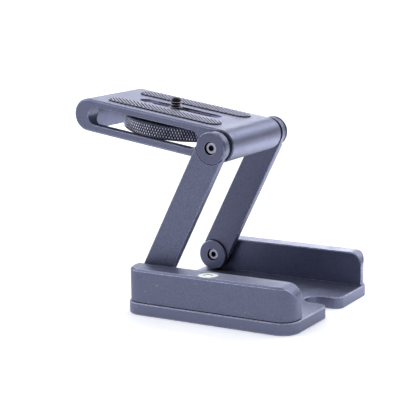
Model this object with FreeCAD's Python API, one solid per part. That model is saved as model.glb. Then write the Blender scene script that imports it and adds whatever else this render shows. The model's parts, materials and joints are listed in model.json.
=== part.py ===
import FreeCAD, Part
import math
import os

# Folding tilt head: a square base carries two side walls, two arms hinge between the
# walls, and a camera platform hinges between the tops of the arms. Folded, the arms and
# the platform lie in the channel between the walls, flush with the wall tops.
# Millimetres. Origin at the middle of the underside, +X to the front, +Z up.
# "near" is the -Y side and "far" the +Y side.

# ------------------------------------------------------------------ driving sizes
# Rest pose
ARM_LEAN = 26.6                  # arms, degrees forward of upright
PLATFORM_PITCH = 8.3             # platform, degrees nose down
SCREW_POSITION = 46.1            # camera screw, back from the upper pivots

# Platform
PLATFORM_WIDTH = 58.0
PLATFORM_THICKNESS = 18.8
PLATFORM_CHAMFER = 1.0
WINDOW_START = 13.0              # front end of the side windows, back from the pivots
WINDOW_LENGTH = 73.4
TAIL_LENGTH = 9.6                # platform behind the windows, to its round end
WINDOW_EDGE_CHAMFER = 0.35
RAIL_HEIGHT = 4.3                # rail below each window
RAIL_WIDTH = 5.3
CEILING_THICKNESS = 4.2          # top wall above the wheel
CAVITY_CORNER_RADIUS = 6.0
SLOT_CENTRE = 42.8               # camera slot, back from the pivots
SLOT_LENGTH = 40.5
SLOT_WIDTH = 6.7
RECESS_LENGTH = 54.2             # shallow track round the slot
RECESS_WIDTH = 9.4
RECESS_DEPTH = 1.3

# Grip pads on the platform
PAD_LENGTH = 73.6
PAD_WIDTH = 12.2
PAD_EDGE_MARGIN = 5.8            # platform's side face to the pad
PAD_THICKNESS = 1.2
PAD_SEAT_DEPTH = 0.4
PAD_CLEARANCE = 0.1

# Thumbwheel and camera screw
WHEEL_INSET = 0.2                # rim inside the platform's side faces
WHEEL_RIM_HEIGHT = 8.3
WHEEL_RAIL_CLEARANCE = 0.6
WHEEL_BEVEL = 0.9
WHEEL_DISH_DEPTH = 2.4
WHEEL_DISH_RADIUS = 22.0
WHEEL_HUB_RADIUS = 9.0
WHEEL_BOSS_RADIUS = 7.0
WHEEL_BOSS_CLEARANCE = 0.1
CAMERA_SCREW_DIAMETER = 6.35
CAMERA_SCREW_PROUD = 5.5
CAMERA_SCREW_POINT = 0.6
CAMERA_KEY_FLATS = 4.0
CAMERA_KEY_DEPTH = 4.5
SHOE_LENGTH = 15.0               # sliding shoe in the recess
SHOE_THICKNESS = 0.6
SHOE_CLEARANCE = 0.15
CLIP_THICKNESS = 0.5
CLIP_RADIUS = 4.4
CLIP_MOUTH = 4.0
CLIP_GROOVE_DEPTH = 0.4

# Arms
PIVOT_SPAN = 86.6                # pivot to pivot
ARM_WIDTH = 17.4
ARM_THICKNESS = 4.6
ARM_CHAMFER = 0.3
UPPER_BOSS_HEIGHT = 1.3          # round boss inside each arm, at the platform's pivot
CAP_RECESS_DEPTH = 1.5
CAP_RADIUS = 8.9
CAP_GAP = 0.5                    # shadow gap round each cap
CAP_RIM_CHAMFER = 0.4
CAP_DISC_DEPTH = 1.0             # cap disc below the arm's face
UPPER_CAP_PROUD = 0.5            # cap face above the arm's face
LOWER_CAP_PROUD = 1.5
CAP_WASHER_THICKNESS = 0.4
HUB_RADIUS = 6.0
HUB_CLEARANCE = 0.05
COUNTERBORE_RADIUS = 3.7
COUNTERBORE_DEPTH = 5.4
UPPER_SPACER_THICKNESS = 2.5
LOWER_WASHER_THICKNESS = 1.6
SPACER_RADIUS = 8.9
SLIDING_GAP = 0.05

# M4 socket screws at the pivots
PIVOT_SCREW_RADIUS = 2.0
PIVOT_SCREW_CLEARANCE = 0.2
PIVOT_SCREW_HEAD_RADIUS = 3.5
PIVOT_SCREW_HEAD_HEIGHT = 4.0
PIVOT_SCREW_HEAD_CHAMFER = 0.5
PIVOT_SCREW_KEY_FLATS = 3.0
PIVOT_SCREW_KEY_DEPTH = 2.2
PIVOT_SCREW_THREAD = 7.0         # length in the threaded part
PIVOT_HOLE_SPARE = 1.0
THREAD_FIT = 0.02

# Base
PLATE_THICKNESS = 6.8
PLATE_CORNER_RADIUS = 10.5
PLATE_CHAMFER = 0.4
END_MARGIN = 0.5                 # plate beyond the folded arm ends
FOLD_CLEARANCE = 0.4             # folded platform above the plate
NEAR_WALL_THICKNESS = 14.2
FAR_WALL_THICKNESS = 11.0
WALL_INSET = 0.9                 # walls inside the plate's edge
WALL_NOSE_RADIUS = 8.0
WALL_OUTER_CHAMFER = 1.2
WALL_INNER_CHAMFER = 0.5
SEAM_HEIGHT = 0.25               # shadow gap under the walls
SEAM_DEPTH = 0.3
NOTCH_DEPTH = 17.8
NOTCH_WIDTH = 15.0
NOTCH_FLARE_RADIUS = 5.5

# Wall screws, countersunk from below
WALL_SCREW_RADIUS = 2.0
WALL_SCREW_HEAD_RADIUS = 3.9
WALL_SCREW_CLEARANCE = 0.2
WALL_SCREW_KEY_FLATS = 2.5
WALL_SCREW_KEY_DEPTH = 1.6
WALL_SCREW_THREAD = 8.0
WALL_SCREW_HOLE_SPARE = 1.5
WALL_SCREW_SINK = 0.2
REAR_WALL_SCREW_X = -30.0
MIDDLE_WALL_SCREW_X = 2.0
FRONT_WALL_SCREW_X = 34.0

# Tripod thread bushing
BUSHING_RADIUS = 4.76
BUSHING_FIT = 0.02
BUSHING_LENGTH = 6.0
BUSHING_FLANGE_RADIUS = 6.4
BUSHING_FLANGE_THICKNESS = 1.2
BUSHING_SLOT_WIDTH = 1.2
BUSHING_SLOT_DEPTH = 0.8
TRIPOD_THREAD_RADIUS = 3.2

# Bubble level in the near wall
LEVEL_RADIUS = 5.8
LEVEL_SINK = 0.3                 # rim below the wall's top
LEVEL_POCKET_DEPTH = 5.2
LEVEL_FIT = 0.02
LEVEL_LIP = 0.2
VIAL_RADIUS = 2.7
VIAL_HEIGHT = 4.2
VIAL_SINK = 0.15
LEVEL_X = -1.8

# ------------------------------------------------------------------ worked-out sizes
PLATFORM_HALF = PLATFORM_THICKNESS / 2
ARM_HALF = ARM_WIDTH / 2
UPPER_BOSS_FACE = PLATFORM_WIDTH / 2 + UPPER_SPACER_THICKNESS
ARM_FACE = UPPER_BOSS_FACE + UPPER_BOSS_HEIGHT                  # arm inner face
ARM_OUTER_FACE = ARM_FACE + ARM_THICKNESS
CHANNEL_HALF = ARM_OUTER_FACE + LOWER_WASHER_THICKNESS          # wall inner face
CHANNEL_CENTRE_Y = (NEAR_WALL_THICKNESS - FAR_WALL_THICKNESS) / 2
BASE_WIDTH = 2 * CHANNEL_HALF + NEAR_WALL_THICKNESS + FAR_WALL_THICKNESS + 2 * WALL_INSET
BASE_LENGTH = PIVOT_SPAN + ARM_WIDTH + 2 * END_MARGIN
PIVOT_HEIGHT = PLATE_THICKNESS + FOLD_CLEARANCE + PLATFORM_HALF
WALL_TOP = PIVOT_HEIGHT + PLATFORM_HALF
LOWER_PIVOT_X = -PIVOT_SPAN / 2
NEAR_WALL_OUTER_Y = -(BASE_WIDTH / 2 - WALL_INSET)
NEAR_WALL_INNER_Y = CHANNEL_CENTRE_Y - CHANNEL_HALF
FAR_WALL_OUTER_Y = BASE_WIDTH / 2 - WALL_INSET
FAR_WALL_INNER_Y = CHANNEL_CENTRE_Y + CHANNEL_HALF
CAP_RECESS_RADIUS = CAP_RADIUS + CAP_GAP
HUB_BORE_RADIUS = HUB_RADIUS + HUB_CLEARANCE
UPPER_HUB_LENGTH = ARM_THICKNESS + UPPER_BOSS_HEIGHT + UPPER_SPACER_THICKNESS
LOWER_HUB_LENGTH = ARM_THICKNESS + LOWER_WASHER_THICKNESS
WINDOW_END = WINDOW_START + WINDOW_LENGTH
PLATFORM_SPAN = WINDOW_END + TAIL_LENGTH - PLATFORM_HALF        # pivots to tail centre
PAD_CENTRE = PLATFORM_SPAN / 2
PAD_OFFSET = PLATFORM_WIDTH / 2 - PAD_EDGE_MARGIN - PAD_WIDTH / 2
WINDOW_HEIGHT = PLATFORM_THICKNESS - RAIL_HEIGHT - CEILING_THICKNESS
WINDOW_MIDDLE = (RAIL_HEIGHT - CEILING_THICKNESS) / 2
RAIL_TOP = -PLATFORM_HALF + RAIL_HEIGHT
CEILING = PLATFORM_HALF - CEILING_THICKNESS
RECESS_FLOOR = PLATFORM_HALF - RECESS_DEPTH
WHEEL_RADIUS = PLATFORM_WIDTH / 2 - WHEEL_INSET
WHEEL_BOTTOM = RAIL_TOP + WHEEL_RAIL_CLEARANCE
WHEEL_TOP = WHEEL_BOTTOM + WHEEL_RIM_HEIGHT
CAMERA_SCREW_RADIUS = CAMERA_SCREW_DIAMETER / 2
CAMERA_SCREW_TOP = PLATFORM_HALF + CAMERA_SCREW_PROUD
CLIP_BOTTOM = RECESS_FLOOR + SHOE_THICKNESS
LEVEL_Y = (NEAR_WALL_OUTER_Y + NEAR_WALL_INNER_Y) / 2

Vec = FreeCAD.Vector
ORIGIN = Vec(0, 0, 0)
ALONG_X = Vec(1, 0, 0)
ALONG_Y = Vec(0, 1, 0)
ALONG_Z = Vec(0, 0, 1)


# ------------------------------------------------------------------ shape helpers
def closed_face(edges):
    return Part.Face(Part.Wire(edges))


def line(start, end):
    return Part.LineSegment(start, end).toShape()


def arc(start, middle, end):
    return Part.Arc(start, middle, end).toShape()


def turned(profile):
    """Solid of revolution about Z from a closed list of (radius, height) points."""
    corners = [Vec(radius, 0, height) for radius, height in profile]
    outline = Part.makePolygon(corners + [corners[0]])
    return Part.Face(outline).revolve(ORIGIN, ALONG_Z, 360)


def upright_prism(length, width, radius, bottom, top):
    """Block with rounded corners in plan, centred on the Z axis."""
    half_length = length / 2
    half_width = width / 2
    inner_x = half_length - radius
    inner_y = half_width - radius
    diagonal = radius * math.sqrt(0.5)
    edges = []
    corners = [(1, 1), (-1, 1), (-1, -1), (1, -1)]
    for number, (sign_x, sign_y) in enumerate(corners):
        on_side = Vec(sign_x * half_length, sign_y * inner_y, bottom)
        on_end = Vec(sign_x * inner_x, sign_y * half_width, bottom)
        middle = Vec(sign_x * (inner_x + diagonal), sign_y * (inner_y + diagonal), bottom)
        first, last = (on_side, on_end) if number % 2 == 0 else (on_end, on_side)
        if edges and (first - previous).Length > 1e-6:
            edges.append(line(previous, first))
        edges.append(arc(first, middle, last))
        previous = last
    start = Vec(half_length, inner_y, bottom)
    if (start - previous).Length > 1e-6:
        edges.append(line(previous, start))
    return closed_face(edges).extrude(Vec(0, 0, top - bottom))


def side_racetrack(rear, front, radius, near, far, height=0.0):
    """Racetrack seen from the side, between two end centres on X, extruded along Y."""
    up = height + radius
    down = height - radius
    edges = [
        line(Vec(rear, near, up), Vec(front, near, up)),
        arc(Vec(front, near, up), Vec(front + radius, near, height), Vec(front, near, down)),
        line(Vec(front, near, down), Vec(rear, near, down)),
        arc(Vec(rear, near, down), Vec(rear - radius, near, height), Vec(rear, near, up)),
    ]
    return closed_face(edges).extrude(Vec(0, far - near, 0))


def plan_slot(centre, length, width, bottom, top):
    """Slot with round ends lying along X, standing on Z."""
    reach = length / 2 - width / 2
    half = width / 2
    edges = [
        line(Vec(-reach, half, bottom), Vec(reach, half, bottom)),
        arc(Vec(reach, half, bottom), Vec(reach + half, 0, bottom), Vec(reach, -half, bottom)),
        line(Vec(reach, -half, bottom), Vec(-reach, -half, bottom)),
        arc(Vec(-reach, -half, bottom), Vec(-reach - half, 0, bottom), Vec(-reach, half, bottom)),
    ]
    slot = closed_face(edges).extrude(Vec(0, 0, top - bottom))
    slot.translate(centre)
    return slot


def cylinder_along_y(radius, near, far, x=0.0, z=0.0):
    return Part.makeCylinder(radius, far - near, Vec(x, near, z), ALONG_Y)


def hexagon(flats, bottom, top):
    """Hexagonal prism for a key socket, on the Z axis."""
    corner = flats / math.sqrt(3)
    points = []
    for turn in range(7):
        angle = math.radians(60 * turn)
        points.append(Vec(corner * math.cos(angle), corner * math.sin(angle), bottom))
    return Part.Face(Part.makePolygon(points)).extrude(Vec(0, 0, top - bottom))


def edges_in_plane(shape, axis, value):
    """Edges that lie whole in the plane where the named coordinate has the value."""
    found = []
    for edge in shape.Edges:
        box = edge.BoundBox
        low = getattr(box, axis + "Min")
        high = getattr(box, axis + "Max")
        if abs(low - value) < 1e-4 and abs(high - value) < 1e-4:
            found.append(edge)
    return found


def facing_y(shape, direction):
    """Lay a piece made on Z along Y, with its top towards +Y or -Y."""
    laid = shape.copy()
    laid.rotate(ORIGIN, ALONG_X, -90 * direction)
    return laid


def moved(shape, x=0.0, y=0.0, z=0.0):
    copy = shape.copy()
    copy.translate(Vec(x, y, z))
    return copy


# ------------------------------------------------------------------ placing in the rest pose
def on_arm(shape):
    """From the arm's own frame (lower pivot at the origin, arm along +Z) to its place."""
    placed = shape.copy()
    placed.rotate(ORIGIN, ALONG_Y, ARM_LEAN)
    placed.translate(Vec(LOWER_PIVOT_X, CHANNEL_CENTRE_Y, PIVOT_HEIGHT))
    return placed


def on_platform(shape):
    """From the platform's own frame (upper pivot at the origin, tail along -X)."""
    lean = math.radians(ARM_LEAN)
    pivot_x = LOWER_PIVOT_X + PIVOT_SPAN * math.sin(lean)
    pivot_z = PIVOT_HEIGHT + PIVOT_SPAN * math.cos(lean)
    placed = shape.copy()
    placed.rotate(ORIGIN, ALONG_Y, PLATFORM_PITCH)
    placed.translate(Vec(pivot_x, CHANNEL_CENTRE_Y, pivot_z))
    return placed


def at_lower_pivot(shape):
    return moved(shape, LOWER_PIVOT_X, CHANNEL_CENTRE_Y, PIVOT_HEIGHT)


# ------------------------------------------------------------------ base
def finger_notch():
    """U-shaped notch in the plate's front edge, with flared mouth corners."""
    front = BASE_LENGTH / 2
    flare = NOTCH_FLARE_RADIUS
    half = NOTCH_WIDTH / 2
    throat = front - flare
    bottom_centre = front - NOTCH_DEPTH + half
    flare_bulge = flare * (1 - math.sqrt(0.5))
    outside = front + PLATE_CHAMFER + 1.0
    edges = [
        line(Vec(outside, half + flare, 0), Vec(front, half + flare, 0)),
        arc(Vec(front, half + flare, 0),
            Vec(front - flare_bulge, half + flare_bulge, 0),
            Vec(throat, half, 0)),
        line(Vec(throat, half, 0), Vec(bottom_centre, half, 0)),
        arc(Vec(bottom_centre, half, 0),
            Vec(bottom_centre - half, 0, 0),
            Vec(bottom_centre, -half, 0)),
        line(Vec(bottom_centre, -half, 0), Vec(throat, -half, 0)),
        arc(Vec(throat, -half, 0),
            Vec(front - flare_bulge, -half - flare_bulge, 0),
            Vec(front, -half - flare, 0)),
        line(Vec(front, -half - flare, 0), Vec(outside, -half - flare, 0)),
        line(Vec(outside, -half - flare, 0), Vec(outside, half + flare, 0)),
    ]
    notch = closed_face(edges).extrude(Vec(0, 0, PLATE_THICKNESS))
    return moved(notch, 0, CHANNEL_CENTRE_Y, 0)


def wall_screw_places():
    """(x, y) of the countersunk screws, three along the middle of each wall."""
    near_y = (NEAR_WALL_OUTER_Y + NEAR_WALL_INNER_Y) / 2
    far_y = (FAR_WALL_OUTER_Y + FAR_WALL_INNER_Y) / 2
    stations = [REAR_WALL_SCREW_X, MIDDLE_WALL_SCREW_X, FRONT_WALL_SCREW_X]
    return [(x, y) for y in (near_y, far_y) for x in stations]


def base_plate():
    plate = upright_prism(BASE_LENGTH, BASE_WIDTH, PLATE_CORNER_RADIUS, 0, PLATE_THICKNESS)
    plate = plate.cut(finger_notch())
    rims = edges_in_plane(plate, "Z", 0) + edges_in_plane(plate, "Z", PLATE_THICKNESS)
    plate = plate.makeChamfer(PLATE_CHAMFER, rims)
    clearance_radius = WALL_SCREW_RADIUS + WALL_SCREW_CLEARANCE
    countersink_radius = WALL_SCREW_HEAD_RADIUS + WALL_SCREW_SINK + WALL_SCREW_CLEARANCE
    screw_hole = turned([
        (0, 0),
        (countersink_radius, 0),
        (clearance_radius, countersink_radius - clearance_radius),
        (clearance_radius, PLATE_THICKNESS),
        (0, PLATE_THICKNESS),
    ])
    for x, y in wall_screw_places():
        plate = plate.cut(moved(screw_hole, x, y, 0))
    bushing_hole = turned([
        (0, 0),
        (BUSHING_FLANGE_RADIUS + BUSHING_FIT, 0),
        (BUSHING_FLANGE_RADIUS + BUSHING_FIT, BUSHING_FLANGE_THICKNESS),
        (BUSHING_RADIUS + BUSHING_FIT, BUSHING_FLANGE_THICKNESS),
        (BUSHING_RADIUS + BUSHING_FIT, PLATE_THICKNESS),
        (0, PLATE_THICKNESS),
    ])
    return plate.cut(bushing_hole)


def tripod_bushing():
    """Flanged reducing bushing with a driver slot across its flange."""
    bushing = turned([
        (TRIPOD_THREAD_RADIUS, 0),
        (BUSHING_FLANGE_RADIUS, 0),
        (BUSHING_FLANGE_RADIUS, BUSHING_FLANGE_THICKNESS),
        (BUSHING_RADIUS, BUSHING_FLANGE_THICKNESS),
        (BUSHING_RADIUS, BUSHING_LENGTH),
        (TRIPOD_THREAD_RADIUS, BUSHING_LENGTH),
    ])
    slot = Part.makeBox(2 * BUSHING_FLANGE_RADIUS, BUSHING_SLOT_WIDTH, BUSHING_SLOT_DEPTH,
                        Vec(-BUSHING_FLANGE_RADIUS, -BUSHING_SLOT_WIDTH / 2, 0))
    return bushing.cut(slot)


def wall_outline():
    """Both walls' common outside: the plate's outline set in, chamfered at the top and
    undercut by the shadow gap at the bottom."""
    length = BASE_LENGTH - 2 * WALL_INSET
    width = BASE_WIDTH - 2 * WALL_INSET
    radius = PLATE_CORNER_RADIUS - WALL_INSET
    seam_top = PLATE_THICKNESS + SEAM_HEIGHT
    upper = upright_prism(length, width, radius, seam_top, WALL_TOP)
    upper = upper.makeChamfer(WALL_OUTER_CHAMFER, edges_in_plane(upper, "Z", WALL_TOP))
    lower = upright_prism(length - 2 * SEAM_DEPTH, width - 2 * SEAM_DEPTH,
                          radius - SEAM_DEPTH, PLATE_THICKNESS, seam_top)
    return upper.fuse(lower)


def wall_slab(outer, inner):
    """Side view of a wall, round at the top front corner, with chamfered side edges."""
    near = min(outer, inner)
    far = max(outer, inner)
    rear = -BASE_LENGTH / 2
    front = BASE_LENGTH / 2 - WALL_INSET
    nose = WALL_NOSE_RADIUS
    bulge = nose * (1 - math.sqrt(0.5))
    edges = [
        line(Vec(rear, near, PLATE_THICKNESS), Vec(rear, near, WALL_TOP)),
        line(Vec(rear, near, WALL_TOP), Vec(front - nose, near, WALL_TOP)),
        arc(Vec(front - nose, near, WALL_TOP),
            Vec(front - bulge, near, WALL_TOP - bulge),
            Vec(front, near, WALL_TOP - nose)),
        line(Vec(front, near, WALL_TOP - nose), Vec(front, near, PLATE_THICKNESS)),
        line(Vec(front, near, PLATE_THICKNESS), Vec(rear, near, PLATE_THICKNESS)),
    ]
    slab = closed_face(edges).extrude(Vec(0, far - near, 0))
    for face, chamfer in ((outer, WALL_OUTER_CHAMFER), (inner, WALL_INNER_CHAMFER)):
        shown = [edge for edge in edges_in_plane(slab, "Y", face)
                 if edge.BoundBox.ZMax > PLATE_THICKNESS + chamfer
                 and edge.BoundBox.XMax > rear + chamfer]
        slab = slab.makeChamfer(chamfer, shown)
    return slab


def side_wall(outer, inner):
    """One side wall with its pivot hole and screw holes."""
    near = min(outer, inner)
    far = max(outer, inner)
    wall = wall_outline().common(wall_slab(outer, inner))
    hole_depth = PIVOT_SCREW_THREAD + PIVOT_HOLE_SPARE
    hole_radius = PIVOT_SCREW_RADIUS + THREAD_FIT
    if inner > outer:
        pivot_hole = cylinder_along_y(hole_radius, inner - hole_depth, inner)
    else:
        pivot_hole = cylinder_along_y(hole_radius, inner, inner + hole_depth)
    wall = wall.cut(moved(pivot_hole, LOWER_PIVOT_X, 0, PIVOT_HEIGHT))
    screw_hole = Part.makeCylinder(WALL_SCREW_RADIUS + THREAD_FIT,
                                   WALL_SCREW_THREAD + WALL_SCREW_HOLE_SPARE)
    for x, y in wall_screw_places():
        if near < y < far:
            wall = wall.cut(moved(screw_hole, x, y, PLATE_THICKNESS))
    return wall


def near_side_wall():
    wall = side_wall(NEAR_WALL_OUTER_Y, NEAR_WALL_INNER_Y)
    pocket = Part.makeCylinder(LEVEL_RADIUS + LEVEL_FIT, LEVEL_POCKET_DEPTH)
    return wall.cut(moved(pocket, LEVEL_X, LEVEL_Y, WALL_TOP - LEVEL_POCKET_DEPTH))


def far_side_wall():
    return side_wall(FAR_WALL_OUTER_Y, FAR_WALL_INNER_Y)


def wall_screw():
    """Countersunk socket screw, head down, set just above the plate's underside."""
    bottom = WALL_SCREW_SINK
    cone_top = bottom + WALL_SCREW_HEAD_RADIUS - WALL_SCREW_RADIUS
    screw = turned([
        (0, bottom),
        (WALL_SCREW_HEAD_RADIUS, bottom),
        (WALL_SCREW_RADIUS, cone_top),
        (WALL_SCREW_RADIUS, PLATE_THICKNESS + WALL_SCREW_THREAD),
        (0, PLATE_THICKNESS + WALL_SCREW_THREAD),
    ])
    return screw.cut(hexagon(WALL_SCREW_KEY_FLATS, bottom, bottom + WALL_SCREW_KEY_DEPTH))


def wall_screws():
    screw = wall_screw()
    return Part.makeCompound([moved(screw, x, y, 0) for x, y in wall_screw_places()])


def level_housing():
    """Cup of the bubble level, with a flat rim round its window."""
    bottom = WALL_TOP - LEVEL_POCKET_DEPTH
    rim = WALL_TOP - LEVEL_SINK
    housing = turned([
        (0, bottom),
        (LEVEL_RADIUS, bottom),
        (LEVEL_RADIUS, rim - LEVEL_LIP),
        (LEVEL_RADIUS - LEVEL_LIP, rim),
        (VIAL_RADIUS, rim),
        (VIAL_RADIUS, rim - VIAL_SINK - VIAL_HEIGHT),
        (0, rim - VIAL_SINK - VIAL_HEIGHT),
    ])
    return moved(housing, LEVEL_X, LEVEL_Y, 0)


def level_vial():
    top = WALL_TOP - LEVEL_SINK - VIAL_SINK
    vial = Part.makeCylinder(VIAL_RADIUS, VIAL_HEIGHT)
    return moved(vial, LEVEL_X, LEVEL_Y, top - VIAL_HEIGHT)


# ------------------------------------------------------------------ pivots
def pivot_cap(hub_length, proud):
    """Cap disc with a shoulder hub below it, counterbored; z = 0 is the arm's face."""
    screw_bore = PIVOT_SCREW_RADIUS + PIVOT_SCREW_CLEARANCE
    return turned([
        (COUNTERBORE_RADIUS, proud),
        (CAP_RADIUS - CAP_RIM_CHAMFER, proud),
        (CAP_RADIUS, proud - CAP_RIM_CHAMFER),
        (CAP_RADIUS, -CAP_DISC_DEPTH),
        (HUB_RADIUS, -CAP_DISC_DEPTH),
        (HUB_RADIUS, -hub_length),
        (screw_bore, -hub_length),
        (screw_bore, proud - COUNTERBORE_DEPTH),
        (COUNTERBORE_RADIUS, proud - COUNTERBORE_DEPTH),
    ])


def pivot_screw(hub_length, proud):
    """Socket cap screw seated in the cap's counterbore."""
    seat = proud - COUNTERBORE_DEPTH
    head_top = seat + PIVOT_SCREW_HEAD_HEIGHT
    tip = -hub_length - PIVOT_SCREW_THREAD
    screw = turned([
        (0, head_top),
        (PIVOT_SCREW_HEAD_RADIUS - PIVOT_SCREW_HEAD_CHAMFER, head_top),
        (PIVOT_SCREW_HEAD_RADIUS, head_top - PIVOT_SCREW_HEAD_CHAMFER),
        (PIVOT_SCREW_HEAD_RADIUS, seat),
        (PIVOT_SCREW_RADIUS, seat),
        (PIVOT_SCREW_RADIUS, tip),
        (0, tip),
    ])
    return screw.cut(hexagon(PIVOT_SCREW_KEY_FLATS, head_top - PIVOT_SCREW_KEY_DEPTH, head_top))


def cap_washer():
    """Thin friction washer under the cap disc."""
    top = -CAP_DISC_DEPTH
    bottom = top - CAP_WASHER_THICKNESS
    return turned([(HUB_BORE_RADIUS, top), (CAP_RADIUS, top), (CAP_RADIUS, bottom),
                   (HUB_BORE_RADIUS, bottom)])


def friction_ring(thickness):
    """Plain ring round the hub, from z = 0 down."""
    return turned([(HUB_BORE_RADIUS, 0), (SPACER_RADIUS, 0), (SPACER_RADIUS, -thickness),
                   (HUB_BORE_RADIUS, -thickness)])


def upper_pivot_piece(piece, side):
    """Seat a pivot piece in the arm's outer face, at the platform's pivot."""
    return on_platform(moved(facing_y(piece, side), 0, side * ARM_OUTER_FACE, 0))


def lower_pivot_piece(piece, side):
    """Seat a pivot piece in the arm's inner face, at the base's pivot."""
    return at_lower_pivot(moved(facing_y(piece, -side), 0, side * ARM_FACE, 0))


def upper_spacer(side):
    ring = facing_y(friction_ring(UPPER_SPACER_THICKNESS - SLIDING_GAP), side)
    return on_platform(moved(ring, 0, side * (UPPER_BOSS_FACE - SLIDING_GAP), 0))


def lower_washer(side):
    ring = facing_y(friction_ring(LOWER_WASHER_THICKNESS - SLIDING_GAP), -side)
    return at_lower_pivot(moved(ring, 0, side * (ARM_OUTER_FACE + SLIDING_GAP), 0))


# ------------------------------------------------------------------ arms
def arm(side):
    """Flat bar with round ends. Its upper end is recessed on the outside and its lower
    end on the inside, for the pivot caps, and a boss inside its upper end meets the spacer."""
    inner = side * ARM_FACE
    outer = side * ARM_OUTER_FACE
    near = min(inner, outer)
    far = max(inner, outer)
    bar = side_racetrack(0, PIVOT_SPAN, ARM_HALF, near, far)
    bar = bar.makeChamfer(ARM_CHAMFER, edges_in_plane(bar, "Y", near)
                          + edges_in_plane(bar, "Y", far))
    bar.rotate(ORIGIN, ALONG_Y, -90)
    boss_face = side * UPPER_BOSS_FACE
    boss = cylinder_along_y(ARM_HALF, min(inner, boss_face), max(inner, boss_face), z=PIVOT_SPAN)
    bar = bar.fuse(boss)
    outer_floor = side * (ARM_OUTER_FACE - CAP_RECESS_DEPTH)
    inner_floor = side * (ARM_FACE + CAP_RECESS_DEPTH)
    upper_recess = cylinder_along_y(CAP_RECESS_RADIUS, min(outer, outer_floor),
                                    max(outer, outer_floor), z=PIVOT_SPAN)
    lower_recess = cylinder_along_y(CAP_RECESS_RADIUS, min(inner, inner_floor),
                                    max(inner, inner_floor))
    bar = bar.cut(upper_recess).cut(lower_recess)
    bar = bar.cut(cylinder_along_y(HUB_BORE_RADIUS, near, far))
    bar = bar.cut(cylinder_along_y(HUB_BORE_RADIUS, min(outer, boss_face), max(outer, boss_face),
                                   z=PIVOT_SPAN))
    return on_arm(bar)


# ------------------------------------------------------------------ platform
def window_cut():
    radius = WINDOW_HEIGHT / 2
    return side_racetrack(-WINDOW_END + radius, -WINDOW_START - radius, radius,
                          -PLATFORM_WIDTH / 2, PLATFORM_WIDTH / 2, WINDOW_MIDDLE)


def wheel_cavity():
    """Pocket for the thumbwheel, open below and into both windows."""
    cavity = upright_prism(WINDOW_LENGTH, PLATFORM_WIDTH - 2 * RAIL_WIDTH,
                           CAVITY_CORNER_RADIUS, -PLATFORM_HALF, CEILING)
    return moved(cavity, -WINDOW_START - WINDOW_LENGTH / 2, 0, 0)


def pad_slot(length, width, bottom, top, side):
    return plan_slot(Vec(-PAD_CENTRE, side * PAD_OFFSET, 0), length, width, bottom, top)


def platform():
    half_width = PLATFORM_WIDTH / 2
    block = side_racetrack(-PLATFORM_SPAN, 0, PLATFORM_HALF, -half_width, half_width)
    side_edges = (edges_in_plane(block, "Y", -half_width)
                  + edges_in_plane(block, "Y", half_width))
    block = block.makeChamfer(PLATFORM_CHAMFER, side_edges)
    block = block.cut(window_cut())
    window_edges = [edge for edge in edges_in_plane(block, "Y", -half_width)
                    + edges_in_plane(block, "Y", half_width)
                    if edge.BoundBox.ZMax < CEILING + 1e-3
                    and edge.BoundBox.ZMin > RAIL_TOP - 1e-3
                    and edge.BoundBox.XMin > -WINDOW_END - 1e-3
                    and edge.BoundBox.XMax < -WINDOW_START + 1e-3]
    block = block.makeChamfer(WINDOW_EDGE_CHAMFER, window_edges)
    block = block.cut(wheel_cavity())
    slot_centre = Vec(-SLOT_CENTRE, 0, 0)
    block = block.cut(plan_slot(slot_centre, RECESS_LENGTH, RECESS_WIDTH,
                                RECESS_FLOOR, PLATFORM_HALF))
    block = block.cut(plan_slot(slot_centre, SLOT_LENGTH, SLOT_WIDTH, CEILING, RECESS_FLOOR))
    thread_depth = PIVOT_SCREW_THREAD + PIVOT_HOLE_SPARE
    thread_radius = PIVOT_SCREW_RADIUS + THREAD_FIT
    for side in (-1, 1):
        block = block.cut(pad_slot(PAD_LENGTH, PAD_WIDTH,
                                   PLATFORM_HALF - PAD_SEAT_DEPTH, PLATFORM_HALF, side))
        face = side * half_width
        bottom = side * (half_width - thread_depth)
        block = block.cut(cylinder_along_y(thread_radius, min(face, bottom), max(face, bottom)))
    return on_platform(block)


def grip_pad(side):
    bottom = PLATFORM_HALF - PAD_SEAT_DEPTH
    return on_platform(pad_slot(PAD_LENGTH - 2 * PAD_CLEARANCE, PAD_WIDTH - 2 * PAD_CLEARANCE,
                                bottom, bottom + PAD_THICKNESS, side))


# ------------------------------------------------------------------ wheel and screw
def thumbwheel():
    """Wide wheel with bevelled rim, dished below, with a boss that runs on the ceiling."""
    boss_top = CEILING - WHEEL_BOSS_CLEARANCE
    dish_top = WHEEL_BOTTOM + WHEEL_DISH_DEPTH
    wheel = turned([
        (CAMERA_SCREW_RADIUS, WHEEL_BOTTOM),
        (WHEEL_HUB_RADIUS, WHEEL_BOTTOM),
        (WHEEL_HUB_RADIUS, dish_top),
        (WHEEL_DISH_RADIUS, dish_top),
        (WHEEL_DISH_RADIUS + WHEEL_BEVEL, WHEEL_BOTTOM),
        (WHEEL_RADIUS - WHEEL_BEVEL, WHEEL_BOTTOM),
        (WHEEL_RADIUS, WHEEL_BOTTOM + WHEEL_BEVEL),
        (WHEEL_RADIUS, WHEEL_TOP - WHEEL_BEVEL),
        (WHEEL_RADIUS - WHEEL_BEVEL, WHEEL_TOP),
        (WHEEL_BOSS_RADIUS, WHEEL_TOP),
        (WHEEL_BOSS_RADIUS, boss_top),
        (CAMERA_SCREW_RADIUS, boss_top),
    ])
    return on_platform(moved(wheel, -SCREW_POSITION, 0, 0))


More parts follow.
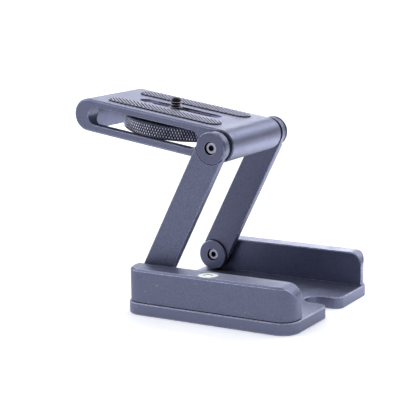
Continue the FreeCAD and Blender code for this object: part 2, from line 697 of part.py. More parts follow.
def camera_screw():
    """Threaded stud fixed in the wheel, with a clip groove and a key socket below."""
    groove_radius = CAMERA_SCREW_RADIUS - CLIP_GROOVE_DEPTH
    screw = turned([
        (0, WHEEL_BOTTOM),
        (CAMERA_SCREW_RADIUS, WHEEL_BOTTOM),
        (CAMERA_SCREW_RADIUS, CLIP_BOTTOM),
        (groove_radius, CLIP_BOTTOM),
        (groove_radius, CLIP_BOTTOM + CLIP_THICKNESS),
        (CAMERA_SCREW_RADIUS, CLIP_BOTTOM + CLIP_THICKNESS),
        (CAMERA_SCREW_RADIUS, CAMERA_SCREW_TOP - CAMERA_SCREW_POINT),
        (CAMERA_SCREW_RADIUS - CAMERA_SCREW_POINT, CAMERA_SCREW_TOP),
        (0, CAMERA_SCREW_TOP),
    ])
    screw = screw.cut(hexagon(CAMERA_KEY_FLATS, WHEEL_BOTTOM, WHEEL_BOTTOM + CAMERA_KEY_DEPTH))
    return on_platform(moved(screw, -SCREW_POSITION, 0, 0))


def retaining_clip():
    """Open ring snapped into the screw's groove above the shoe."""
    inner = CAMERA_SCREW_RADIUS - CLIP_GROOVE_DEPTH
    top = CLIP_BOTTOM + CLIP_THICKNESS
    ring = turned([(inner, CLIP_BOTTOM), (CLIP_RADIUS, CLIP_BOTTOM), (CLIP_RADIUS, top),
                   (inner, top)])
    mouth = Part.makeBox(CLIP_RADIUS, CLIP_MOUTH, CLIP_THICKNESS,
                         Vec(0, -CLIP_MOUTH / 2, CLIP_BOTTOM))
    return on_platform(moved(ring.cut(mouth), -SCREW_POSITION, 0, 0))


def sliding_shoe():
    """Thin plate that slides in the recess and carries the camera screw."""
    shoe = plan_slot(ORIGIN, SHOE_LENGTH, RECESS_WIDTH - 2 * SHOE_CLEARANCE,
                     RECESS_FLOOR, RECESS_FLOOR + SHOE_THICKNESS)
    shoe = shoe.cut(Part.makeCylinder(CAMERA_SCREW_RADIUS + HUB_CLEARANCE, SHOE_THICKNESS,
                                      Vec(0, 0, RECESS_FLOOR)))
    return on_platform(moved(shoe, -SCREW_POSITION, 0, 0))


# ------------------------------------------------------------------ nodes
def pair(make_piece, seat):
    """Near and far copies of a pivot piece as one group of separate solids."""
    return Part.makeCompound([seat(make_piece, side) for side in (-1, 1)])


NEAR = -1
FAR = 1

NODES = {
    "base_plate": base_plate(),
    "near_side_wall": near_side_wall(),
    "far_side_wall": far_side_wall(),
    "wall_screws": wall_screws(),
    "tripod_bushing": tripod_bushing(),
    "level_housing": level_housing(),
    "level_vial": level_vial(),
    "near_lower_washer": lower_washer(NEAR),
    "far_lower_washer": lower_washer(FAR),
    "near_lower_cap": lower_pivot_piece(pivot_cap(LOWER_HUB_LENGTH, LOWER_CAP_PROUD), NEAR),
    "far_lower_cap": lower_pivot_piece(pivot_cap(LOWER_HUB_LENGTH, LOWER_CAP_PROUD), FAR),
    "lower_cap_washers": pair(cap_washer(), lower_pivot_piece),
    "lower_pivot_screws": pair(pivot_screw(LOWER_HUB_LENGTH, LOWER_CAP_PROUD),
                               lower_pivot_piece),
    "near_arm": arm(NEAR),
    "far_arm": arm(FAR),
    "near_upper_spacer": upper_spacer(NEAR),
    "far_upper_spacer": upper_spacer(FAR),
    "near_upper_cap": upper_pivot_piece(pivot_cap(UPPER_HUB_LENGTH, UPPER_CAP_PROUD), NEAR),
    "far_upper_cap": upper_pivot_piece(pivot_cap(UPPER_HUB_LENGTH, UPPER_CAP_PROUD), FAR),
    "upper_cap_washers": pair(cap_washer(), upper_pivot_piece),
    "upper_pivot_screws": pair(pivot_screw(UPPER_HUB_LENGTH, UPPER_CAP_PROUD),
                               upper_pivot_piece),
    "platform": platform(),
    "near_grip_pad": grip_pad(NEAR),
    "far_grip_pad": grip_pad(FAR),
    "sliding_shoe": sliding_shoe(),
    "retaining_clip": retaining_clip(),
    "thumbwheel": thumbwheel(),
    "camera_screw": camera_screw(),
}

os.makedirs("parts", exist_ok=True)
for name, shape in NODES.items():
    if not shape.isValid():
        raise ValueError(name + " is not a valid shape")
    shape.exportStep("parts/" + name + ".step")
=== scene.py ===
import bmesh
import bpy
import json
import math
from functools import partial
from mathutils import Matrix, Vector


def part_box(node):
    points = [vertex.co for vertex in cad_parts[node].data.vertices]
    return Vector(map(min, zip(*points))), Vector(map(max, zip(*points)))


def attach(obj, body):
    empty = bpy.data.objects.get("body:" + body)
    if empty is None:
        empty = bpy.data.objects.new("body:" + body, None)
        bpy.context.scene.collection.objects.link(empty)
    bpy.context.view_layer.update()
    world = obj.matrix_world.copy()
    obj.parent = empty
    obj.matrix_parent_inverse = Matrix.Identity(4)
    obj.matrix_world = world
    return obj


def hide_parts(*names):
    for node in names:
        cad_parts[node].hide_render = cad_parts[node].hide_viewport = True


# Folding tilt head: finishes for the machined pieces, and modelled knurl, thread, grip
# ribs and bubble level. Metres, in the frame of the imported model.

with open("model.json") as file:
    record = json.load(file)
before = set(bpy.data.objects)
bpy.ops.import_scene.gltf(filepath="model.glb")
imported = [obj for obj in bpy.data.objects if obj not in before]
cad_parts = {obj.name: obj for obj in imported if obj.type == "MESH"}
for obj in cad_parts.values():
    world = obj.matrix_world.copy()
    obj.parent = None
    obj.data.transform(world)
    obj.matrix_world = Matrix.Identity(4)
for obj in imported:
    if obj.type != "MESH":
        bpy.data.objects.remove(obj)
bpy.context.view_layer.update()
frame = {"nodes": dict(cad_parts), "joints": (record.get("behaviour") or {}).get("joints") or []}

MM = 0.001

# ------------------------------------------------------------------ places from the frame
JOINTS = {joint["name"]: joint for joint in frame["joints"]}
LOWER_PIVOT = Vector(JOINTS["arm_tilt"]["pos_m"])
UPPER_PIVOT = Vector(JOINTS["platform_tilt"]["pos_m"])
WHEEL_CENTRE = Vector(JOINTS["thumbwheel_spin"]["pos_m"])
PLATFORM_UP = Vector(JOINTS["thumbwheel_spin"]["axis"]).normalized()
PLATFORM_BACK = Vector(JOINTS["screw_slide"]["axis"]).normalized()
ACROSS = Vector((0, 1, 0))


def frame_at(origin, x_axis, y_axis, z_axis):
    """Matrix that places a piece made at the origin, from its axes and origin."""
    turn = Matrix((x_axis, y_axis, z_axis)).transposed().to_4x4()
    return Matrix.Translation(origin) @ turn


PLATFORM_FRAME = frame_at(UPPER_PIVOT, -PLATFORM_BACK, ACROSS, PLATFORM_UP)
WHEEL_FRAME = frame_at(WHEEL_CENTRE, -PLATFORM_BACK, ACROSS, PLATFORM_UP)

# ------------------------------------------------------------------ sizes of made pieces
# Heights on the platform are above the plane of its pivots, square to its top.

# Thumbwheel and its knurl
WHEEL_RADIUS = 28.8 * MM
WHEEL_BOTTOM = -4.5 * MM
WHEEL_TOP = 3.8 * MM
WHEEL_BEVEL = 0.9 * MM
WHEEL_HUB_RADIUS = 9.0 * MM
WHEEL_DISH_DEPTH = 2.4 * MM
WHEEL_DISH_RADIUS = 22.0 * MM    # flat floor of the dish
WHEEL_DISH_MOUTH = 23.4 * MM     # where its sloping wall meets the underside
WHEEL_BOSS_RADIUS = 7.0 * MM
WHEEL_BOSS_TOP = 5.1 * MM
WHEEL_SEGMENTS = 128
KNURL_DEPTH = 0.6 * MM
KNURL_COUNT = 108                # diamonds round the rim
KNURL_STEPS = 8                  # mesh steps across a diamond, each way
KNURL_ROWS = 20                  # mesh steps from edge to edge of the knurled band
KNURL_FLAT = 0.25                # flat tip of a diamond, as a share of its width
KNURL_SEAT = 0.4 * MM            # knurled band into the wheel's body
KNURL_WELD = 1e-6                # the rolled band's seam is closed within this

# Camera screw
SCREW_RADIUS = 3.175 * MM
SCREW_BORE = 3.2 * MM            # hole through the wheel
SCREW_TOP = 14.9 * MM
SCREW_POINT = 1.6 * MM           # radius lost at the tip
DARK_POINT = 0.9 * MM            # unrubbed end of the screw, above its last thread
SHANK_SEGMENTS = 48
THREAD_START = 8.8 * MM          # just inside the retaining clip
THREAD_PITCH = 1.5 * MM
THREAD_DEPTH = 0.62 * MM
THREAD_CREST_FLAT = 0.12         # share of half a pitch
THREAD_FLANK = 0.70              # share of half a pitch
THREAD_COLUMNS = 56              # mesh steps round the screw
THREAD_ROWS = 14                 # mesh steps along one turn

# Shallow track in the platform's top, with the slot through its floor
TRACK_HALF_WIDTH = 4.72 * MM
TRACK_RIM = 9.35 * MM
TRACK_FLOOR = 8.05 * MM
SLOT_FLOOR = 5.0 * MM
TRACK_MIDDLE = 42.8 * MM         # back from the upper pivot
TRACK_REACH = 27.5 * MM          # to each end from its middle

# Grip pads
PAD_CENTRE = 43.3 * MM           # back from the upper pivot
PAD_OFFSET = 17.1 * MM           # to each side of the middle
PAD_LENGTH = 73.4 * MM
PAD_WIDTH = 12.0 * MM
PAD_BOTTOM = 9.0 * MM
PAD_TOP = 10.2 * MM
PAD_POINTS_ALONG = 481           # mesh points
PAD_POINTS_ACROSS = 61
RIB_PITCH = 2.58 * MM            # along the pad
RIB_DEPTH = 0.5 * MM
RIB_FOOT = -0.75                 # height of the ribs' wave that ends a groove's floor
RIB_SHOULDER = 0.60              # height of the wave that begins a rib's flat top

# Bubble level, from its middle outwards
BUBBLE_RADIUS = 1.2 * MM
LEVEL_RING_RADIUS = 1.75 * MM
LEVEL_RING_FULL = 0.08 * MM      # half width of the ring's line
LEVEL_RING_GONE = 0.14 * MM      # from its middle to where it has faded out
LEVEL_RIM_RADIUS = 2.30 * MM
LEVEL_BULGE = 0.12 * MM          # rise of the window at its middle
LEVEL_DOME_SHARE = 0.995         # dome's radius, as a share of the vial's
LEVEL_RINGS = 8
LEVEL_SEGMENTS = 48

# Measures that only the finishes need
SEAM_TOP = 7.35 * MM             # top of the painted line of shade between a wall and the plate
SOCKET_CORNER = 1.60 * MM        # key socket of a pivot screw, axis to corner
HEAD_FACE = 3.05 * MM            # bright face of a pivot screw's head, to its bevel
SOFT_BORDER = 0.15 * MM          # over which such a patch fades
RIM_LEAN = 0.3                   # a rim's normal has less than this across the head

WELD = 1e-7                      # points closer than this are one


# ------------------------------------------------------------------ mesh helpers
def new_piece(name, mesh, body, material):
    """An object for the mesh, with its finish, on the body that carries it."""
    piece = bpy.data.objects.new(name, mesh)
    bpy.context.scene.collection.objects.link(piece)
    piece.data.materials.clear()
    piece.data.materials.append(material)
    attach(piece, body)
    return piece


def mesh_from(name, build, place=None):
    """A mesh made by build(bm), closed, with its faces outwards, and put in its place."""
    bm = bmesh.new()
    build(bm)
    bmesh.ops.remove_doubles(bm, verts=bm.verts, dist=WELD)
    bmesh.ops.recalc_face_normals(bm, faces=bm.faces)
    if place is not None:
        bm.transform(place)
    mesh = bpy.data.meshes.new(name)
    bm.to_mesh(mesh)
    bm.free()
    return mesh


def shade_by_angle(mesh, degrees=32):
    """Smooth faces that meet within the angle and keep the sharper edges crisp."""
    for polygon in mesh.polygons:
        polygon.use_smooth = True
    mesh.set_sharp_from_angle(angle=math.radians(degrees))


def turn_profile(bm, profile, segments):
    """Revolve a list of (radius, height) points about Z. A closed list makes a ring."""
    rings = []
    for radius, height in profile:
        if radius < WELD:
            rings.append([bm.verts.new((0, 0, height))])
            continue
        ring = []
        for step in range(segments):
            angle = 2 * math.pi * step / segments
            ring.append(bm.verts.new((radius * math.cos(angle), radius * math.sin(angle), height)))
        rings.append(ring)
    for lower, upper in zip(rings, rings[1:]):
        for step in range(segments):
            after = (step + 1) % segments
            corners = [lower[step % len(lower)], lower[after % len(lower)],
                       upper[after % len(upper)], upper[step % len(upper)]]
            corners = list(dict.fromkeys(corners))
            if len(corners) > 2:
                bm.faces.new(corners)


def lathe(name, profile, segments, place):
    return mesh_from(name, lambda bm: turn_profile(bm, profile, segments), place)


# ------------------------------------------------------------------ shader helpers
def feed(tree, node, values):
    """Put links or constants on a node's inputs, by their names or numbers."""
    for key, value in values.items():
        if isinstance(value, bpy.types.NodeSocket):
            tree.links.new(value, node.inputs[key])
        else:
            node.inputs[key].default_value = value


def add_node(tree, kind, values, **settings):
    """A node with its settings and with links or constants on its inputs."""
    node = tree.nodes.new(kind)
    for key, value in settings.items():
        setattr(node, key, value)
    feed(tree, node, values)
    return node


def math_node(tree, operation, first, second=None, third=None, clamp=False):
    values = {0: first}
    if second is not None:
        values[1] = second
    if third is not None:
        values[2] = third
    return add_node(tree, "ShaderNodeMath", values, operation=operation, use_clamp=clamp).outputs[0]


def map_range(tree, value, low, high, to_low=0.0, to_high=1.0, steps="LINEAR"):
    values = {"Value": value, "From Min": low, "From Max": high, "To Min": to_low, "To Max": to_high}
    return add_node(tree, "ShaderNodeMapRange", values, interpolation_type=steps).outputs[0]


def mix_colour(tree, factor, first, second, blend="MIX"):
    values = {0: factor, 6: first, 7: second}    # a mix node's colours are its sockets 6 and 7
    return add_node(tree, "ShaderNodeMix", values, data_type="RGBA", blend_type=blend).outputs[2]


def vector_node(tree, operation, first, second=None):
    """A vector operation, giving its number where it has one and its vector otherwise."""
    values = {0: first}
    if second is not None:
        values[1] = second
    node = add_node(tree, "ShaderNodeVectorMath", values, operation=operation)
    gives_number = operation in ("DOT_PRODUCT", "LENGTH", "DISTANCE")
    return node.outputs["Value" if gives_number else "Vector"]


def object_place(tree):
    return tree.nodes.new("ShaderNodeTexCoord").outputs["Object"]


def face_normal(tree):
    return tree.nodes.new("ShaderNodeNewGeometry").outputs["Normal"]


def distance_from_axis(tree, centre, across_axis):
    """Distance from an axis through the centre. across_axis is 0 along it and 1 across it."""
    offset = vector_node(tree, "SUBTRACT", object_place(tree), tuple(centre))
    return vector_node(tree, "LENGTH", vector_node(tree, "MULTIPLY", offset, across_axis))


def shader_group(name, inputs, outputs):
    """An empty node group with named inputs, as (name, type, default), and outputs."""
    tree = bpy.data.node_groups.new(name, "ShaderNodeTree")
    for label, kind, default in inputs:
        socket = tree.interface.new_socket(label, in_out="INPUT", socket_type=kind)
        socket.default_value = default
    for label, kind in outputs:
        tree.interface.new_socket(label, in_out="OUTPUT", socket_type=kind)
    return tree, tree.nodes.new("NodeGroupInput"), tree.nodes.new("NodeGroupOutput")


FLOAT = "NodeSocketFloat"
WHOLE = "NodeSocketInt"
VECTOR = "NodeSocketVector"
MATERIAL = "NodeSocketMaterial"


def blasted_grain_group():
    """Fine pits of bead blasting, the mottle they leave and the cloudy patches of handling."""
    inputs = [("Grain Size", FLOAT, 0.22 * MM), ("Mottle Size", FLOAT, 0.6 * MM),
              ("Cloud Size", FLOAT, 9.0 * MM)]
    tree, given, result = shader_group("blasted_grain", inputs, [
        ("Height", FLOAT), ("Grain", FLOAT), ("Mottle", FLOAT), ("Cloud", FLOAT)])
    place = object_place(tree)

    def noise(size, detail, roughness):
        scale = math_node(tree, "DIVIDE", 1.0, given.outputs[size])
        return add_node(tree, "ShaderNodeTexNoise", {
            "Vector": place, "Scale": scale, "Detail": detail, "Roughness": roughness}).outputs["Fac"]

    pits = noise("Grain Size", 2.0, 0.6)
    mottle = noise("Mottle Size", 2.0, 0.75)
    cloud = noise("Cloud Size", 4.0, 0.55)
    tree.links.new(pits, result.inputs["Height"])
    tree.links.new(map_range(tree, pits, 0.32, 0.68), result.inputs["Grain"])
    tree.links.new(map_range(tree, mottle, 0.3, 0.7), result.inputs["Mottle"])
    tree.links.new(map_range(tree, cloud, 0.3, 0.7), result.inputs["Cloud"])
    return tree


def edge_wear_and_highlight_group():
    """Where the surface turns sharply: 1 on an edge, broken up by handling. It marks both rubbed
    edges and painted edge highlights.
    """
    inputs = [("Width", FLOAT, 0.4 * MM), ("Break Up", FLOAT, 1.0 * MM)]
    tree, given, result = shader_group("edge_wear_and_highlight", inputs, [("Edge", FLOAT)])
    rounded = add_node(tree, "ShaderNodeBevel", {"Radius": given.outputs["Width"]}, samples=6)
    turn = vector_node(tree, "DOT_PRODUCT", rounded.outputs["Normal"], face_normal(tree))
    edge = map_range(tree, turn, 0.992, 0.94)    # where the rounded normal leans 7 to 20 degrees
    scale = math_node(tree, "DIVIDE", 1.0, given.outputs["Break Up"])
    noise = add_node(tree, "ShaderNodeTexNoise",
                     {"Vector": object_place(tree), "Scale": scale, "Detail": 3.0})
    broken = map_range(tree, noise.outputs["Fac"], 0.40, 0.56, 0.30)
    tree.links.new(math_node(tree, "MULTIPLY", edge, broken, clamp=True), result.inputs["Edge"])
    return tree


def dust_group():
    """Pale specks of dust: most on surfaces that face up, a few on upright ones."""
    inputs = [("Speck Spacing", FLOAT, 2.8 * MM), ("Speck Size", FLOAT, 0.07),
              ("Amount", FLOAT, 0.5), ("Upright Share", FLOAT, 0.25)]
    tree, given, result = shader_group("settled_dust", inputs, [("Speck", FLOAT)])
    scale = math_node(tree, "DIVIDE", 1.0, given.outputs["Speck Spacing"])
    cells = add_node(tree, "ShaderNodeTexVoronoi", {"Vector": object_place(tree), "Scale": scale})
    chosen = add_node(tree, "ShaderNodeSeparateColor", {"Color": cells.outputs["Color"]})
    # A speck has 0.4 to 1.4 times the given size.
    size = math_node(tree, "MULTIPLY", given.outputs["Speck Size"],
                     math_node(tree, "ADD", chosen.outputs["Green"], 0.4))
    near = math_node(tree, "LESS_THAN", cells.outputs["Distance"], size)
    # Faces steeper than 60 degrees are upright, and those within 41 degrees of level face up.
    upward = add_node(tree, "ShaderNodeSeparateXYZ", {"Vector": face_normal(tree)}).outputs["Z"]
    share = map_range(tree, upward, 0.5, 0.75, given.outputs["Upright Share"], 1.0)
    amount = math_node(tree, "MULTIPLY", given.outputs["Amount"], share)
    picked = math_node(tree, "LESS_THAN", chosen.outputs["Red"], amount)
    tree.links.new(math_node(tree, "MULTIPLY", near, picked), result.inputs["Speck"])
    return tree


def tilted_place_group():
    """Object coordinates turned into the platform's frame, about a given origin."""
    inputs = [("Origin", VECTOR, (0, 0, 0))]
    tree, given, result = shader_group("tilted_place", inputs, [
        ("Along", FLOAT), ("Across", FLOAT), ("Height", FLOAT), ("Radius", FLOAT),
        ("Facing Up", FLOAT)])
    offset = vector_node(tree, "SUBTRACT", object_place(tree), given.outputs["Origin"])
    along, across, height = [vector_node(tree, "DOT_PRODUCT", offset, tuple(axis))
                             for axis in (PLATFORM_BACK, ACROSS, PLATFORM_UP)]
    square = math_node(tree, "ADD", math_node(tree, "MULTIPLY", along, along),
                       math_node(tree, "MULTIPLY", across, across))
    radius = math_node(tree, "SQRT", square)
    facing = vector_node(tree, "DOT_PRODUCT", face_normal(tree), tuple(PLATFORM_UP))
    for label, value in (("Along", along), ("Across", across), ("Height", height),
                         ("Radius", radius), ("Facing Up", facing)):
        tree.links.new(value, result.inputs[label])
    return tree


GRAIN = blasted_grain_group()
EDGE_WEAR_AND_HIGHLIGHT = edge_wear_and_highlight_group()
DUST = dust_group()
TILTED_PLACE = tilted_place_group()


def by_socket(values):
    """Keyword arguments under the names of their sockets."""
    return {label.replace("_", " "): value for label, value in values.items()}


def use_group(tree, group, **values):
    return add_node(tree, "ShaderNodeGroup", by_socket(values), node_tree=group)


def start_material(name):
    material = bpy.data.materials.new(name)
    material.use_nodes = True
    return material, material.node_tree, material.node_tree.nodes["Principled BSDF"]


def dress(tree, shader, **values):
    """Links or constants on the shader's sockets."""
    feed(tree, shader, by_socket(values))


def bump(tree, height, strength, distance):
    return add_node(tree, "ShaderNodeBump", {
        "Strength": strength, "Distance": distance, "Height": height}).outputs["Normal"]


# ------------------------------------------------------------------ materials
# Colours are linear red, green, blue and alpha. Tones are the dark and the pale colour
# between which a surface varies.
ANODISED_TONES = ((0.103, 0.112, 0.176, 1), (0.222, 0.236, 0.342, 1))
CAP_TONES = ((0.100, 0.107, 0.172, 1), (0.148, 0.157, 0.236, 1))
# painted shade on the rims of the caps, in the gaps round them
CAP_RIM_PAINTED_SHADE = (0.055, 0.058, 0.094, 1)
# painted shade: the thumbwheel made darker than the other anodising, for the shade under the platform
WHEEL_SHADED_TONES = ((0.030, 0.031, 0.048, 1), (0.045, 0.046, 0.070, 1))
# paler edges: rubbed-through anodising and a painted highlight
WORN_EDGE_AND_HIGHLIGHT = (0.72, 0.74, 0.97, 1)
DUST_COLOUR = (0.70, 0.71, 0.84, 1)
# painted light: the track's floor and walls made pale for the light they reflect
TRACK_PAINTED_LIGHT = (0.42, 0.42, 0.55, 1)
# painted shade in the slot through the track's floor
SLOT_PAINTED_SHADE = (0.02, 0.02, 0.03, 1)
# painted shade for the seam where a wall stands on the plate
SEAM_PAINTED_SHADE = (0.012, 0.012, 0.018, 1)
# painted shade: the knurl made near black, like the wheel's body
KNURL_SHADED_TONES = ((0.036, 0.037, 0.062, 1), (0.060, 0.061, 0.098, 1))
KNURL_BRIGHT = (0.78, 0.78, 0.94, 1)
OXIDE_TONES = ((0.030, 0.030, 0.034, 1), (0.050, 0.049, 0.052, 1))
OXIDE_WORN = (0.10, 0.10, 0.13, 1)
PIVOT_TONES = ((0.36, 0.36, 0.46, 1), (0.52, 0.52, 0.62, 1))
# painted shade for the key socket and bevel of a pivot screw, deep in the counterbore
SOCKET_PAINTED_SHADE = (0.025, 0.025, 0.035, 1)
THREAD_BLACK = (0.014, 0.010, 0.010, 1)
THREAD_BRIGHT = (0.50, 0.49, 0.56, 1)
TURNED_TONES = ((0.40, 0.40, 0.41, 1), (0.58, 0.58, 0.60, 1))
ACETAL_TONES = ((0.002, 0.002, 0.004, 1), (0.005, 0.005, 0.009, 1))
# rubber tone on the rib tops, made paler by a painted sheen
RIB_TONE_AND_PAINTED_SHEEN = ((0.27, 0.27, 0.37, 1), (0.46, 0.46, 0.59, 1))
GROOVE_PAINTED_SHADE = (0.014, 0.014, 0.024, 1)
SKIRT_PAINTED_SHADE = (0.006, 0.006, 0.009, 1)
VIOLET_SHEEN = (0.7, 0.7, 1.0, 1)
LEVEL_TONES = ((0.76, 0.80, 0.77, 1), (0.84, 0.87, 0.85, 1))
FLUID_TONES = ((0.60, 0.74, 0.42, 1), (0.68, 0.82, 0.52, 1))
BUBBLE_PALE = (0.90, 0.95, 0.74, 1)
LEVEL_LINE = (0.05, 0.07, 0.05, 1)
FLOOR_TONES = ((0.86, 0.86, 0.88, 1), (0.88, 0.88, 0.90, 1))


def track_masks(tree):
    """Masks for painted light and shade: 1 in the track cut into the platform's top, painted pale for
    the light its walls and floor reflect, and 1 in the slot through its floor, painted dark as shade.
    """
    spot = use_group(tree, TILTED_PLACE, Origin=UPPER_PIVOT)
    narrow = math_node(tree, "LESS_THAN", math_node(tree, "ABSOLUTE", spot.outputs["Across"]),
                       TRACK_HALF_WIDTH)
    short = math_node(tree, "COMPARE", spot.outputs["Along"], TRACK_MIDDLE, TRACK_REACH)
    inside = math_node(tree, "MULTIPLY", narrow, short)
    masks = []
    for low, high in ((TRACK_FLOOR, TRACK_RIM), (SLOT_FLOOR, TRACK_FLOOR)):
        above = math_node(tree, "GREATER_THAN", spot.outputs["Height"], low)
        below = math_node(tree, "LESS_THAN", spot.outputs["Height"], high)
        masks.append(math_node(tree, "MULTIPLY", inside, math_node(tree, "MULTIPLY", above, below)))
    return masks


def painted_seam_shade_mask(tree):
    """1 in the thin dark line of painted shade where a wall stands on the plate."""
    height = add_node(tree, "ShaderNodeSeparateXYZ", {"Vector": object_place(tree)}).outputs["Z"]
    return map_range(tree, height, SEAM_TOP - SOFT_BORDER, SEAM_TOP, 1.0, 0.0)


def rim_shade_mask(tree):
    """1 on the turned rim of a disc whose axis lies across the head, where shade is painted."""
    across = add_node(tree, "ShaderNodeSeparateXYZ", {"Vector": face_normal(tree)}).outputs["Y"]
    return math_node(tree, "LESS_THAN", math_node(tree, "ABSOLUTE", across), RIM_LEAN)


def mottled(tree, grain, mottle_share):
    """A tone made of the grain's mottle and, for the rest, its clouds."""
    clouds = math_node(tree, "MULTIPLY", grain.outputs["Cloud"], 1.0 - mottle_share)
    return math_node(tree, "MULTIPLY_ADD", grain.outputs["Mottle"], mottle_share, clouds, clamp=True)


def anodised_aluminium(name, tones=ANODISED_TONES, wear_and_highlight=1.0, edge_width=0.3 * MM,
                       roughness=(0.40, 0.50), dust=0.35, painted_track_light_and_shade=False, painted_seam_shade=False,
                       painted_rim_shade=False):
    """Black anodising over fine blasting: slate violet, dull sheen, paler edges that are partly
    rubbed through and partly a painted highlight. Scuffs and dust scatter the light, so they are less
    metallic than the rest."""
    material, tree, shader = start_material(name)
    grain = use_group(tree, GRAIN, Grain_Size=0.22 * MM, Mottle_Size=0.5 * MM, Cloud_Size=9.0 * MM)
    edge = use_group(tree, EDGE_WEAR_AND_HIGHLIGHT, Width=edge_width, Break_Up=0.9 * MM)
    specks = use_group(tree, DUST, Speck_Spacing=1.9 * MM, Speck_Size=0.09, Amount=dust,
                       Upright_Share=0.25)
    colour = mix_colour(tree, mottled(tree, grain, 0.8), *tones)
    rough = map_range(tree, grain.outputs["Cloud"], 0.0, 1.0, *roughness)
    if painted_track_light_and_shade:
        painted_track_light, slot = track_masks(tree)
        # painted light in the track, then painted shade in the slot
        colour = mix_colour(tree, painted_track_light, colour, TRACK_PAINTED_LIGHT)
        colour = mix_colour(tree, slot, colour, SLOT_PAINTED_SHADE)
        rough = math_node(tree, "SUBTRACT", rough, math_node(tree, "MULTIPLY", painted_track_light, 0.2))
    if painted_rim_shade:
        # painted shade on the rim of a cap, in its gap
        colour = mix_colour(tree, rim_shade_mask(tree), colour, CAP_RIM_PAINTED_SHADE)
    worn_and_highlit = math_node(tree, "MULTIPLY", edge.outputs["Edge"], wear_and_highlight)
    # paler edges, partly rubbed and partly a painted highlight
    colour = mix_colour(tree, worn_and_highlit, colour, WORN_EDGE_AND_HIGHLIGHT)
    colour = mix_colour(tree, specks.outputs["Speck"], colour, DUST_COLOUR)
    if painted_seam_shade:
        # painted shade along the seam at the foot of the wall
        colour = mix_colour(tree, painted_seam_shade_mask(tree), colour, SEAM_PAINTED_SHADE)
    scattering = math_node(tree, "MAXIMUM", math_node(tree, "MULTIPLY", worn_and_highlit, 0.7),
                           specks.outputs["Speck"])
    dress(tree, shader, Base_Color=colour, Roughness=rough,
          Metallic=map_range(tree, scattering, 0.0, 1.0, 0.82, 0.1),
          Normal=bump(tree, grain.outputs["Height"], 0.55, 0.012 * MM))
    return material


def fine_steel_grain(tree):
    return use_group(tree, GRAIN, Grain_Size=0.12 * MM, Mottle_Size=0.5 * MM, Cloud_Size=2.5 * MM)


def black_steel(name):
    """Black-oxide steel with rubbed edges and a trace of oil."""
    material, tree, shader = start_material(name)
    grain = fine_steel_grain(tree)
    edge = use_group(tree, EDGE_WEAR_AND_HIGHLIGHT, Width=0.14 * MM, Break_Up=0.6 * MM)
    worn_and_highlit = math_node(tree, "MULTIPLY", edge.outputs["Edge"], 0.8)
    colour = mix_colour(tree, grain.outputs["Cloud"], *OXIDE_TONES)
    dress(tree, shader, Base_Color=mix_colour(tree, worn_and_highlit, colour, OXIDE_WORN),
          Roughness=map_range(tree, grain.outputs["Cloud"], 0.0, 1.0, 0.30, 0.46), Metallic=0.9,
          Normal=bump(tree, grain.outputs["Height"], 0.4, 0.006 * MM))
    return material


def pivot_steel(name, pivot):
    """Bright face of a pivot screw's head, with painted shade in the key socket and on the outer
    bevel.
    """
    material, tree, shader = start_material(name)
    radius = distance_from_axis(tree, pivot, (1, 0, 1))
    past_socket = map_range(tree, radius, SOCKET_CORNER, SOCKET_CORNER + SOFT_BORDER)
    before_bevel = map_range(tree, radius, HEAD_FACE, HEAD_FACE + SOFT_BORDER, 1.0, 0.0)
    face = math_node(tree, "MULTIPLY", past_socket, before_bevel)
    grain = fine_steel_grain(tree)
    bright = mix_colour(tree, grain.outputs["Cloud"], *PIVOT_TONES)
    # painted shade in the key socket and on the bevel
    dress(tree, shader, Base_Color=mix_colour(tree, face, SOCKET_PAINTED_SHADE, bright),
          Roughness=0.38, Metallic=0.8,
          Normal=bump(tree, grain.outputs["Height"], 0.4, 0.006 * MM))
    return material


def thread_steel(name):
    """Black screw thread: dark oily valleys, crests rubbed bright."""
    material, tree, shader = start_material(name)
    spot = use_group(tree, TILTED_PLACE, Origin=WHEEL_CENTRE)
    grain = fine_steel_grain(tree)
    crest = map_range(tree, spot.outputs["Radius"], SCREW_RADIUS - 0.45 * THREAD_DEPTH,
                      SCREW_RADIUS - 0.05 * THREAD_DEPTH)
    below_point = map_range(tree, spot.outputs["Height"], SCREW_TOP - DARK_POINT,
                            SCREW_TOP - 0.8 * DARK_POINT, 0.8, 0.12)
    patchy = map_range(tree, grain.outputs["Cloud"], 0.0, 1.0, 0.6, 1.0)
    rubbed = math_node(tree, "MULTIPLY", math_node(tree, "MULTIPLY", crest, below_point), patchy)
    dress(tree, shader, Base_Color=mix_colour(tree, rubbed, THREAD_BLACK, THREAD_BRIGHT),
          Roughness=map_range(tree, rubbed, 0.0, 1.0, 0.5, 0.28), Metallic=0.9,
          Normal=bump(tree, grain.outputs["Height"], 0.3, 0.006 * MM))
    return material


def turned_steel(name):
    """Plain steel with the fine rings that a lathe leaves about the Z axis."""
    material, tree, shader = start_material(name)
    rings = add_node(tree, "ShaderNodeTexWave",
                     {"Vector": object_place(tree), "Scale": 1400.0, "Distortion": 0.4},
                     wave_type="RINGS", rings_direction="Z").outputs["Fac"]
    grain = use_group(tree, GRAIN, Grain_Size=0.2 * MM, Mottle_Size=0.6 * MM, Cloud_Size=3.0 * MM)
    dress(tree, shader, Base_Color=mix_colour(tree, grain.outputs["Cloud"], *TURNED_TONES),
          Roughness=map_range(tree, rings, 0.0, 1.0, 0.24, 0.38), Metallic=1.0,
          Normal=bump(tree, rings, 0.25, 0.008 * MM))
    return material


